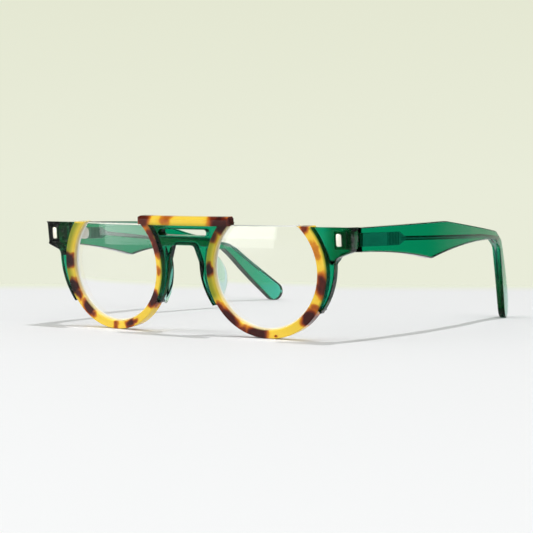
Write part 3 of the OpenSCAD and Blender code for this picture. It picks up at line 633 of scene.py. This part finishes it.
def pad_mesh(name, side):
    """Sweeps a round-tipped section round the lens centre, highest in the middle"""
    foot_r = RIM_R + PAD_T / 2
    bow = ((PAD_LEN / 2)**2 + PAD_REACH**2) / (2 * PAD_REACH)
    middle = math.asin(-PAD_DROP / foot_r)
    # Section axes: the first runs away from the lens centre, the second back behind the sheet
    lean = np.array([-math.sin(PAD_SPLAY), math.cos(PAD_SPLAY)])
    across = np.array([math.cos(PAD_SPLAY), math.sin(PAD_SPLAY)])
    base = np.array([foot_r + 0.6 * math.tan(PAD_SPLAY), SHEET - 0.6])
    rows, normals, along = [], [], np.linspace(-1, 1, 61)
    for s in along:
        angle = math.pi - middle + s * PAD_LEN / 2 / foot_r * 0.999
        reach = math.sqrt(bow**2 - (s * PAD_LEN / 2)**2) - (bow - PAD_REACH)
        half_t = PAD_T / 2 * (0.55 + 0.45 * math.sqrt(max(0.0, 1 - s * s)))
        up = lean * ((reach + 0.6) / math.cos(PAD_SPLAY) - half_t)
        line = [(base + across * half_t + up * q, across) for q in (0, 0.25, 0.5, 0.75, 1)]
        for t in np.radians(np.linspace(0, 180, 13))[1:-1]:
            out = across * math.cos(t) + lean * math.sin(t)
            line.append((base + up + out * half_t, out))
        line += [(base - across * half_t + up * q, -across) for q in (1, 0.75, 0.5, 0.25, 0)]
        ray = np.array([math.cos(angle), math.sin(angle)])
        for (r, t), (nr, nt) in line:
            rows.append([LENS_A + r * ray[0], t, LENS_H + r * ray[1]])
            normals.append([nr * ray[0], nt, nr * ray[1]])
    n = len(rows) // len(along)
    quads = [(i * n + j, i * n + (j + 1) % n, (i + 1) * n + (j + 1) % n, (i + 1) * n + j)
             for i in range(len(along) - 1) for j in range(n)]
    caps = [tuple(range(n)), tuple(reversed(range((len(along) - 1) * n, len(along) * n)))]
    return finish_mesh(name, np.array(rows), np.array(normals), quads, caps, bend_front, side)


pads = {word: pad_mesh(f"clear_pad_{word}", side) for word, side in SIDES.items()}

# %% [markdown]
# ## Plaques
# A small polished metal plaque is let into each end piece. A real one is stamped, so its
# face is slightly domed and its corners are round.

# %% Build both plaques
PLAQUE_W, PLAQUE_H, PLAQUE_U, PLAQUE_V = 2.0, 4.3, END_U - 4.4, FLAT_TOP - END_H / 2
PLAQUE_CORNER = 0.55


def dome(p):
    """The front's map for a plaque, whose middle stands a little proud"""
    u, v = from_eye(p)
    u, v = (u - PLAQUE_U) / (PLAQUE_W / 2), (v - PLAQUE_V) / (PLAQUE_H / 2)
    q = p.copy()
    q[:, 1] = p[:, 1] - 0.15 + 0.06 * (u * u + v * v) * np.clip(1 - p[:, 1], 0, 1)
    return bend_front(q)


PLAQUE_EDGE = rounded(0.12), [(0, 0.3), (0, 0.45), (0, 0.6)], rounded(0.05)
plaque_loop = outline(*[
    (arc((LENS_A + PLAQUE_U + i * (PLAQUE_W / 2 - PLAQUE_CORNER),
          LENS_H + PLAQUE_V + j * (PLAQUE_H / 2 - PLAQUE_CORNER)),
         PLAQUE_CORNER, start, start + 90, step=0.12), PLAQUE_EDGE)
    for i, j, start in ((1, 1, 0), (-1, 1, 90), (-1, -1, 180), (1, -1, 270))], step=0.25)
plaques = {word: plate(f"metal_plaque_{word}", [plaque_loop], 0.9, dome, 0.25, side)
           for word, side in SIDES.items()}

# %% [markdown]
# ## Materials
# The green acetate is clear plastic with dye in it: the light that crosses it is coloured
# by the length of its way inside, so thin places are bright and edges, seen lengthwise,
# are nearly black. That is what a volume absorption does, and a tinted surface can't.


# %% Helpers for materials
def new_node(tree, kind, inputs=(), **settings):
    """A node with its settings. Its inputs get numbers, colours or the outputs of other nodes"""
    node = tree.nodes.new(f"ShaderNode{kind}")
    for label, value in settings.items():
        setattr(node, label, value)
    for label, value in dict(inputs).items():
        if isinstance(value, bpy.types.NodeSocket):
            tree.links.new(value, node.inputs[label])
        else:
            node.inputs[label].default_value = value
    return node


def material(name, settings):
    """A material with one shader, and its settings by the names of its sockets"""
    mat = bpy.data.materials.new(name)
    mat.use_nodes = True
    tree = mat.node_tree
    tree.nodes.clear()
    shader = new_node(tree, "BsdfPrincipled", settings)
    new_node(tree, "OutputMaterial", {"Surface": shader.outputs["BSDF"]})
    print("material", name)
    return mat, tree, shader


def calculate(tree, operation, *values):
    """A math node on numbers or the outputs of other nodes"""
    return new_node(tree, "Math", enumerate(values), operation=operation).outputs[0]


def blended(tree, share, first, second, kind="MIX"):
    """Mixes a second colour into a first one by a share"""
    inputs = {"Factor": share, "A": first, "B": second}
    return new_node(tree, "Mix", inputs, data_type="RGBA", blend_type=kind).outputs["Result"]


def ramped(tree, value, stops):
    """A colour ramp through stops of (place, colour)"""
    node = new_node(tree, "ValToRGB", {"Fac": value})
    while len(node.color_ramp.elements) < len(stops):
        node.color_ramp.elements.new(0.5)
    for element, (at, colour) in zip(node.color_ramp.elements, stops):
        element.position, element.color = at, colour
    return node.outputs["Color"]


def share_of(tree, value, low, high, curve="LINEAR"):
    """0 to 1 while a value goes from low to high"""
    inputs = {"Value": value, "From Min": low, "From Max": high}
    return new_node(tree, "MapRange", inputs, interpolation_type=curve).outputs["Result"]


def place_on(tree):
    """The place of a point on its piece, which moves with it"""
    return new_node(tree, "TexCoord").outputs["Object"]


def clouds(tree, scale, detail, roughness=0.5):
    """Noise that is fixed to the piece"""
    inputs = {"Vector": place_on(tree), "Scale": scale, "Detail": detail, "Roughness": roughness}
    return new_node(tree, "TexNoise", inputs).outputs["Fac"]


def layer(tree, label):
    """A value that the mesh carries at its points"""
    return new_node(tree, "Attribute", attribute_name=label).outputs["Fac"]


# %% Helpers for node groups and colours
def new_group(name, inputs, outputs):
    """A node group with inputs (name and starting value) and outputs (name)"""
    group = bpy.data.node_groups.new(name, "ShaderNodeTree")
    for label, value in inputs.items():
        kind = "NodeSocketFloat" if isinstance(value, float) else "NodeSocketVector"
        group.interface.new_socket(name=label, in_out="INPUT", socket_type=kind).default_value = value
    for label in outputs:
        group.interface.new_socket(name=label, in_out="OUTPUT", socket_type="NodeSocketFloat")
    print(f"node group {name} with", ", ".join(inputs))
    return group, group.nodes.new("NodeGroupInput").outputs, group.nodes.new("NodeGroupOutput").inputs


def srgb(*levels):
    """A colour as a picture gives it, in 0..255, as the shader wants it"""
    shares = [level / 255 for level in levels]
    return (*(s / 12.92 if s <= 0.04045 else ((s + 0.055) / 1.055)**2.4 for s in shares), 1.0)


def grey(level):
    """A grey from 0 to 1, as the shader wants it"""
    return (level, level, level, 1)


# %% [markdown]
# Acetate is polished in a drum of wooden chips. It comes out glossy but never flat as
# glass: the surface waves a little, and fine scuffs make the gloss uneven. All acetates
# share this, so it is one node group, with the amounts left to each material.

# %% A node group for the polish of acetate
# It puts out an uneven roughness and the height of the waves
POLISH, enter, leave = new_group(
    "acetate_polish", {"Roughness": 0.05, "Scuff": 0.04, "Scale": 900.0}, ["Roughness", "Height"])
waves, scuffs = clouds(POLISH, enter["Scale"], 2), clouds(POLISH, 260, 4)
uneven = calculate(POLISH, "MULTIPLY_ADD", scuffs, enter["Scuff"], enter["Roughness"])
POLISH.links.new(uneven, leave["Roughness"])
POLISH.links.new(waves, leave["Height"])


def polished(tree, shader, roughness, scuff, scale, strength):
    """Adds the polish group to a material, with waves a tenth of a millimetre high at most"""
    inputs = {"Roughness": roughness, "Scuff": scuff, "Scale": scale}
    polish = new_node(tree, "Group", inputs, node_tree=POLISH)
    bump = new_node(tree, "Bump", {"Strength": strength, "Distance": 0.0001,
                                   "Height": polish.outputs["Height"]})
    tree.links.new(bump.outputs["Normal"], shader.inputs["Normal"])
    tree.links.new(polish.outputs["Roughness"], shader.inputs["Roughness"])


# %% Green acetate and clear green acetate
ACETATE_IOR = 1.49


def dyed(name, colour, density):
    """Clear plastic with a dye inside. Its gloss is kept low, as under a polarised light"""
    mat, tree, shader = material(name, {"Base Color": grey(1), "Transmission Weight": 1.0,
                                        "IOR": ACETATE_IOR, "Specular Tint": grey(0.15)})
    polished(tree, shader, 0.02, 0.03, 700.0, 0.02)
    dye = new_node(tree, "VolumeAbsorption", {"Color": colour, "Density": density})
    tree.links.new(dye.outputs["Volume"], tree.nodes["Material Output"].inputs["Volume"])
    return mat


GREEN = dyed("green_acetate", (0.0, 0.811, 0.706, 1), 1350.0)
CLEAR = dyed("clear_acetate", (0.0, 0.62, 0.52, 1), 270.0)

# %% [markdown]
# Tortoise acetate is made of yellow and brown pieces pressed into one block, so each
# blotch goes through the sheet and comes out at nearly the same place behind. The
# blotches are therefore placed in the flat sheet, as soft ellipses with an uneven
# border, and the bent mesh carries their darkness at its points. Three more layers are
# laid the same way: painted green light along the glued seams, and the pale walls of the
# openings, with a painted highlight in front of the lens and painted light behind it.

# %% Blotches
# Each is (along the sheet, height, half length, half width, turn in degrees, darkness)
BLOTCHES = [
    (-56.5, 24.7, 2.6, 2.6, 0, 0.95), (-55.0, 15.0, 2.6, 2.4, -70, 0.95),
    (-52.6, 11.8, 2.2, 1.6, -55, 0.7), (-48.0, 7.2, 3.0, 2.2, -45, 0.95),
    (-45.4, 4.8, 1.6, 1.2, -35, 0.6), (-34.2, 1.4, 1.2, 1.8, 0, 0.55),
    (-27.0, 2.4, 2.6, 1.7, 30, 0.85), (-24.2, 3.4, 1.2, 1.0, 30, 0.55),
    (-15.0, 12.4, 2.9, 2.3, 60, 1.0), (-16.4, 10.2, 1.6, 1.4, 50, 0.6),
    (-11.4, 22.2, 1.7, 1.1, 90, 0.45), (-12.4, 31.0, 3.6, 2.0, 110, 0.72),
    (-14.6, 35.0, 3.4, 2.0, 120, 0.68), (-18.2, 40.6, 3.4, 3.2, 20, 0.74),
    (-7.6, 41.2, 2.9, 3.0, 0, 0.42), (16.6, 39.6, 5.0, 3.4, -20, 0.84),
    (21.0, 41.0, 2.2, 2.4, 0, 0.95), (13.4, 35.2, 2.6, 2.0, -70, 0.6),
    (11.0, 23.6, 2.4, 1.8, 90, 0.78), (15.0, 10.0, 2.4, 2.0, -50, 0.7),
    (18.6, 6.6, 5.4, 2.3, -45, 0.9), (23.6, 2.6, 2.6, 2.0, -25, 0.62),
    (29.6, 1.6, 4.2, 2.6, -5, 0.95), (37.5, 0.8, 0.7, 0.6, 0, 0.6),
    (50.4, 8.0, 3.2, 2.4, 45, 0.95), (53.4, 11.4, 1.8, 1.6, 55, 0.5),
    (56.4, 19.2, 4.4, 2.4, 85, 0.75), (54.4, 31.0, 4.4, 1.6, 110, 0.34),
    (50.2, 38.4, 1.6, 2.4, 0, 0.62), (-54.6, 31.5, 2.2, 1.6, 80, 0.12)]
print(len(BLOTCHES), "blotches")


# %% Back to the flat sheet
def unbend_front(p):
    """Flat sheet points that belong to points of the bent front, in millimetres"""
    y, z = p[:, 1] + MID_Y, p[:, 2] + DROP
    d = y * math.cos(LEAN) + z * math.sin(LEAN)
    h = -y * math.sin(LEAN) + z * math.cos(LEAN)
    x = np.abs(p[:, 0])
    radial = np.hypot(x, BOW_R - d)
    angle = np.arctan2(x, BOW_R - d)
    u = (x - BOW_HALF) * math.cos(FACE) + (d - BOW_SAG) * math.sin(FACE)
    t = -(x - BOW_HALF) * math.sin(FACE) + (d - BOW_SAG) * math.cos(FACE)
    curved = angle < FACE
    along = np.where(curved, angle * BOW_R, BOW_ARC + u)
    depth = np.where(curved, BOW_R - radial, t)
    return np.stack([np.sign(p[:, 0]) * along, depth, h], 1)


mesh = tortoise.data
coords = np.zeros(len(mesh.vertices) * 3)
mesh.vertices.foreach_get("co", coords)
sheet = unbend_front(coords.reshape(-1, 3) * 1000)
print(f"the sheet is {np.ptp(sheet[:, 0]):.1f} mm long and {np.ptp(sheet[:, 2]):.1f} mm high")


def lay(label, values):
    """Gives the tortoise mesh a value at each of its points"""
    mesh.attributes.new(label, "FLOAT", "POINT").data.foreach_set("value", values)
    print(f"{label}: mean {values.mean():.2f}")


# %% Darkness of the blotches
# The borders wander by up to 0.9 mm, and a blotch slips sideways through the sheet. The
# noise starts from a fixed seed, so that each run gives the same blotches
noise.seed_set(5)
wobble = np.array([tuple(noise.noise_vector(Vector(p) * 0.45)) for p in sheet]) * 0.9
pigment = np.zeros(len(sheet))
for x, y, long, wide, turn, strength in BLOTCHES:
    c, s = math.cos(math.radians(turn)), math.sin(math.radians(turn))
    slip = 0.22 * sheet[:, 1] * math.sin(x * 1.7 + y)
    a, h = sheet[:, 0] + wobble[:, 0] - x - slip, sheet[:, 2] + wobble[:, 1] - y
    away = np.sqrt(((a * c + h * s) / long)**2 + ((h * c - a * s) / wide)**2)
    pigment = np.maximum(pigment, strength * np.clip(1.55 - away, 0, 1))
lay("pigment", pigment)

# %% Painted green light along the seams
# The green shines into the yellow at the seams, further on the sides that show them from
# the left or the right, and a little under the bar. The light is painted on as a green tint
WIDE_GREEN_LIGHT, NARROW_GREEN_LIGHT = 3.2, 0.7
u, v = from_eye(sheet)
reach = np.where((u > 0) == (sheet[:, 0] < 0), WIDE_GREEN_LIGHT, NARROW_GREEN_LIGHT)
near = np.clip(1.35 - (RIM_R - np.hypot(u - np.where(u > 0, RIM_EXTRA, 0), v)) / reach, 0, 1)
turn = np.degrees(np.arctan2(v, u))
glued = np.where(u > 0, np.clip((turn + 36) / 8, 0, 1),
                 np.clip((NOSE_FOOT - np.mod(turn, 360)) / 8, 0, 1))
bar = (np.abs(sheet[:, 0]) < LENS_A - 14) & (v > FLAT_TOP - 0.3)
under = np.clip(1 - (v - FLAT_TOP + 0.3) / 1.2, 0, 1) * bar
lay("seam", np.maximum(near * glued * (v < FLAT_TOP - 0.4), 0.6 * under))

# %% Pale walls of the openings, with painted light
# On the polished wall of the openings the sheet's pale inside shows, and a painted
# highlight lies on it. Behind the lens the wall is painted near white: painted light where
# it lies in shade
wall = (np.hypot(u, v) < EYE_R + GROOVE + 0.05) & (v < FLAT_TOP)
opening = np.clip((sheet[:, 1] - 0.3) / 0.3, 0, 1) * wall
lay("opening", opening)
lay("rear", opening * np.clip((sheet[:, 1] - SEAT + 0.2) / 0.3, 0, 1))

# %% Colours of the tortoise acetate
# The colour follows the darkness, with fine clouds in it, and the three layers lie on top:
# painted green light at the seams, and the pale walls of the openings with their painted
# highlight in front of the lens and painted light behind it
TORTOISE, tree, shader = material("tortoise_acetate", {"IOR": ACETATE_IOR, "Specular Tint": grey(0.4)})
depth = calculate(tree, "ADD", layer(tree, "pigment"), -0.17)
cloudy = calculate(tree, "MULTIPLY_ADD", clouds(tree, 420, 5, 0.6), 0.34, depth)
colour = ramped(tree, cloudy, [
    (0.0, srgb(244, 208, 72)), (0.2, srgb(241, 196, 58)), (0.3, srgb(214, 136, 36)),
    (0.46, srgb(176, 88, 26)), (0.6, srgb(118, 44, 24)), (0.82, srgb(62, 20, 18))])
for label, share, tint, kind in (("seam", 1.0, srgb(140, 174, 130), "MULTIPLY"),
                                 ("opening", 0.8, srgb(250, 232, 170), "MIX"),
                                 ("rear", 1.0, srgb(255, 254, 246), "MIX")):
    amount = calculate(tree, "MULTIPLY", layer(tree, label), share)
    colour = blended(tree, amount, colour, tint, kind)
tree.links.new(colour, shader.inputs["Base Color"])
polished(tree, shader, 0.05, 0.06, 800.0, 0.03)

# %% [markdown]
# The lenses are clear, and rough only where their edge is ground. The metals are nickel
# silver: the plaques are polished bright, and the hinges and cores are a little duller.

# %% Lens glass and metals
# The glass takes its roughness from the mesh
LENS, tree, shader = material("lens_clear", {
    "Base Color": grey(1), "Transmission Weight": 1.0, "IOR": 1.5, "Specular Tint": grey(0.6)})
tree.links.new(layer(tree, "ground"), shader.inputs["Roughness"])


def metal(name, colour, roughness, grain):
    """A metal with a fine grain in its polish"""
    mat, tree, shader = material(name, {"Base Color": colour, "Metallic": 1.0})
    polished(tree, shader, roughness, grain, 500.0, 0.06)
    return mat


PLAQUE_METAL = metal("plaque_metal", srgb(238, 234, 218), 0.14, 0.1)
HINGE_STEEL = metal("hinge_steel", srgb(238, 236, 230), 0.22, 0.16)
CORE_STEEL = metal("core_steel", srgb(188, 188, 184), 0.28, 0.2)


# %% [markdown]
# The paddle of a core has fine ribs across it, so that the acetate holds it. They are only
# a few hundredths of a millimetre deep, and through the green they show as dark lines. That
# shade is painted: a wave of the distance along the pair paints the dark lines into the
# metal's colour, and stops where the ribs do.


# %% Painted shade of the cores' ribs
def paint_rib_shade(mat, start, end, count, dark, bright):
    """Paints rib shade as dark lines across a core, a count of them from start to end in metres"""
    tree = mat.node_tree
    split = new_node(tree, "SeparateXYZ", {0: place_on(tree)})
    along, pitch, edge = split.outputs["Y"], (end - start) / count, 0.0002
    bare = share_of(tree, calculate(tree, "PINGPONG", along, pitch / 2), pitch * 0.12, pitch * 0.3)
    print(f"{count} ribs, {pitch * 1000:.2f} mm apart")
    for low, high in ((start + edge, start), (end - edge, end)):
        bare = calculate(tree, "MAXIMUM", bare, share_of(tree, along, low, high))
    tree.links.new(blended(tree, bare, dark, bright), tree.nodes["Principled BSDF"].inputs["Base Color"])


PADDLE_REACH, RIB_RUN, RIB_COUNT = 22.9, 7.4, 8
PADDLE_END = JOINT_DEPTH - MID_Y + PADDLE_REACH
paint_rib_shade(CORE_STEEL, (PADDLE_END - RIB_RUN) / 1000, PADDLE_END / 1000, RIB_COUNT,
       srgb(134, 136, 132), srgb(196, 196, 192))

# %% [markdown]
# ## Put the pieces on their bodies
# Each piece rides on the body that carries it and stands for its CAD node. The hinges,
# their screws and the core wires keep their CAD meshes, which already have the right
# shape, and only get better metal. A thin clear lens lets nearly all light through, so the
# lenses cast no shadow.


# %% Assign
def dress(piece, body, node, mat):
    """Gives a piece its material and its body, and hides the CAD node that it stands for"""
    piece.data.materials.append(mat)
    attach(piece, body)
    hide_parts(node)
    print(f"{piece.name} rides on {body} for {node}")


dress(tortoise, "front", "rim_front", TORTOISE)
dress(bridge, "front", "bridge", GREEN)
for word in SIDES:
    dress(ends[word], "front", f"end_piece_{word}", GREEN)
    dress(lenses[word], "front", f"lens_{word}", LENS)
    lenses[word].visible_shadow = False
    dress(pads[word], "front", f"nose_pad_{word}", CLEAR)
    dress(plaques[word], "front", f"plaque_{word}", PLAQUE_METAL)
    dress(arms[word], f"{word}_arm", f"temple_{word}", GREEN)
    for node, mat in (("front_hinge", HINGE_STEEL), ("hinge_pegs", HINGE_STEEL),
                      ("hinge_screw", HINGE_STEEL), ("temple_hinge", HINGE_STEEL),
                      ("core_wire", CORE_STEEL)):
        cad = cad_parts[f"{node}_{word}"]
        cad.data.materials.clear()
        cad.data.materials.append(mat)

# %% [markdown]
# ## Floor, light and camera
# The photograph is high-key: a white floor that ends softly behind the pair, and a pale
# green wall far beyond it. The wall isn't an object here. It is the colour that the world
# shows to the camera, to gloss and to glass, so it stands behind the pair in every view.
# The light itself is a plain pale sky, one sun from above, two long soft boxes, whose
# reflections draw fine white lines along the polished edges, and a broad one at the front,
# whose reflection lies like a veil on the top of the lenses.

# %% Camera place
azimuth, elevation, distance = math.radians(35.0724), math.radians(2.9903), 0.6519
target = Vector((0, (47.75 - MID_Y) / 1000, 0.02101))
back = Vector((math.sin(azimuth) * math.cos(elevation), -math.cos(azimuth) * math.cos(elevation),
               math.sin(elevation)))
print("the camera looks at", target)


# %% Floor
def stage_plane(name, corners, colour, roughness):
    """A flat piece of the studio, which isn't part of the pair"""
    mesh = bpy.data.meshes.new(name)
    mesh.from_pydata(corners, [], [(0, 1, 2, 3)])
    plane = bpy.data.objects.new(name, mesh)
    bpy.context.scene.collection.objects.link(plane)
    mat = material(name, {"Base Color": colour, "Roughness": roughness, "Specular IOR Level": 0.2})[0]
    plane.data.materials.append(mat)
    return plane


# The floor is white and lies square to the view
ahead = Vector((-back.x, -back.y, 0)).normalized()
across = Vector((math.cos(azimuth), math.sin(azimuth), 0))
FLOOR_BACK, FLOOR_FRONT, FLOOR_SIDE = 0.235, -3.0, 3.0
floor = stage_plane("floor", [ahead * d + across * w for d, w in (
    (FLOOR_FRONT, -FLOOR_SIDE), (FLOOR_FRONT, FLOOR_SIDE), (FLOOR_BACK, FLOOR_SIDE),
    (FLOOR_BACK, -FLOOR_SIDE))], srgb(240, 240, 243), 0.6)

# %% [markdown]
# In the photograph the floor melts into the wall behind it. So its far end takes on the
# wall's colour over the last few centimetres. The card of the next step needs the same
# kind of change, so it is a node group: a share from 0 to 1 along a direction.


# %% A node group for the fade
# It puts out a share that grows softly from 0 to 1 between two places on a direction
FADE, enter, leave = new_group(
    "fade_along", {"Direction": (0, 0, 0), "Start": 0.0, "End": 1.0}, ["Share"])
along = new_node(FADE, "VectorMath", {0: place_on(FADE), 1: enter["Direction"]},
                 operation="DOT_PRODUCT").outputs["Value"]
FADE.links.new(share_of(FADE, along, enter["Start"], enter["End"], "SMOOTHSTEP"), leave["Share"])


def fade(mat, direction, start, end, colour):
    """Lets a stage piece take on another colour from start to end along a direction"""
    tree = mat.node_tree
    shader = tree.nodes["Principled BSDF"]
    inputs = {"Direction": direction, "Start": start, "End": end}
    share = new_node(tree, "Group", inputs, node_tree=FADE).outputs["Share"]
    first = tuple(shader.inputs["Base Color"].default_value)
    tree.links.new(blended(tree, share, first, colour), shader.inputs["Base Color"])


fade(floor.data.materials[0], ahead, FLOOR_BACK - 0.06, FLOOR_BACK, srgb(238, 241, 222))

# %% [markdown]
# A photographer keeps clear green plastic deep in colour with a black card, called a flag,
# beside it: where the polished surface would mirror the pale studio, it mirrors the card.
# Only gloss sees this one, so it takes no light from the pair and shows in no view. Its
# edge at the front goes over into white, so that its reflection ends softly.


# %% A black flag
def flag(near, heading, half_width, height, soft_width):
    """A dark card at a distance and heading, which turns white over its last soft_width"""
    middle = Vector((math.sin(heading), math.cos(heading), 0))
    aside = Vector((middle.y, -middle.x, 0))
    corners = [middle * near + aside * w + Vector((0, 0, h)) for w, h in (
        (-half_width, 0), (half_width, 0), (half_width, height), (-half_width, height))]
    card = stage_plane("flag", corners, srgb(24, 26, 26), 0.9)
    fade(card.data.materials[0], aside, soft_width - half_width, -half_width, srgb(250, 250, 250))
    card.visible_camera = card.visible_shadow = False
    card.visible_diffuse = card.visible_transmission = False


flag(near=0.45, heading=math.radians(63), half_width=0.37, height=0.35, soft_width=0.17)


# %% World
# A pale wall for the eye, gloss and glass, and an even sky for the light. The wall is
# palest at the floor and a little greener higher up, and its ceiling is dim
world = bpy.context.scene.world = bpy.data.worlds.new("studio")
world.use_nodes = True
tree = world.node_tree
tree.nodes.clear()
sky = new_node(tree, "Background", {"Color": srgb(244, 246, 240), "Strength": 0.59})
split = new_node(tree, "SeparateXYZ", {0: new_node(tree, "TexCoord").outputs["Generated"]})
wall = new_node(tree, "Background", {"Strength": 1.0, "Color": ramped(tree, split.outputs["Z"], [
    (0.0, srgb(233, 236, 217)), (0.1, srgb(229, 232, 211)), (0.155, srgb(226, 229, 208)),
    (0.2, srgb(104, 108, 102)), (1.0, srgb(60, 64, 62))])})
rays = new_node(tree, "LightPath").outputs
seen = rays["Is Camera Ray"]
for label in ("Is Glossy Ray", "Is Transmission Ray"):
    seen = calculate(tree, "MAXIMUM", seen, rays[label])
print("world", world.name)
mix = new_node(tree, "MixShader", {"Fac": seen, 1: sky.outputs[0], 2: wall.outputs[0]})
new_node(tree, "OutputWorld", {"Surface": mix.outputs[0]})


# %% Lamps
def lamp(name, kind, spot, aim, energy, size=None, angle=None):
    """A sun with an angle in degrees, or a soft box with a width and a height in metres"""
    data = bpy.data.lights.new(name, kind)
    data.energy = energy
    if size:
        data.shape = "RECTANGLE"
        data.size, data.size_y = size
    if angle:
        data.angle = math.radians(angle)
    ob = bpy.data.objects.new(name, data)
    ob.location = spot
    ob.rotation_euler = (Vector(aim) - Vector(spot)).to_track_quat("-Z", "Y").to_euler()
    bpy.context.scene.collection.objects.link(ob)
    print(f"{name}: {energy} from {spot}")


lamp("key", "SUN", (0.12, 0.19, 1.0), (0, 0, 0), 1.15, angle=1.2)
lamp("soft_top", "AREA", (0.1, -0.5, 1.1), (0, 0, 0.02), 2.5, size=(1.4, 0.07))
lamp("soft_side", "AREA", (1.3, -0.2, 0.7), (0, 0, 0.02), 2.0, size=(0.07, 1.0))
lamp("soft_front", "AREA", (-0.5, -0.72, 0.15), (0, 0, 0.03), 2.0, size=(0.56, 0.29))

# %% [markdown]
# The photograph was taken from a fitted place, a little to the side and nearly level. The
# middle of its view is a few pixels off the middle of the picture, which a shift of the
# lens gives without turning the camera.

# %% Camera
PICTURE, VIEW_MIDDLE = 533, (264.0, 269.5)
cam_data = bpy.data.cameras.new("camera")
cam_data.lens, cam_data.sensor_width = 116.4, 36
cam_data.clip_start = 0.01
cam_data.shift_x = (PICTURE / 2 - VIEW_MIDDLE[0]) / PICTURE
cam_data.shift_y = (VIEW_MIDDLE[1] - PICTURE / 2) / PICTURE
camera = bpy.data.objects.new("camera", cam_data)
bpy.context.scene.collection.objects.link(camera)
camera.location = target + back * distance
roll = Quaternion((0, 0, 1), math.radians(0.14))
camera.rotation_euler = ((-back).to_track_quat("-Z", "Y") @ roll).to_euler()
bpy.context.scene.camera = camera
bpy.context.scene.view_settings.view_transform = "Standard"
print("camera at", camera.location)
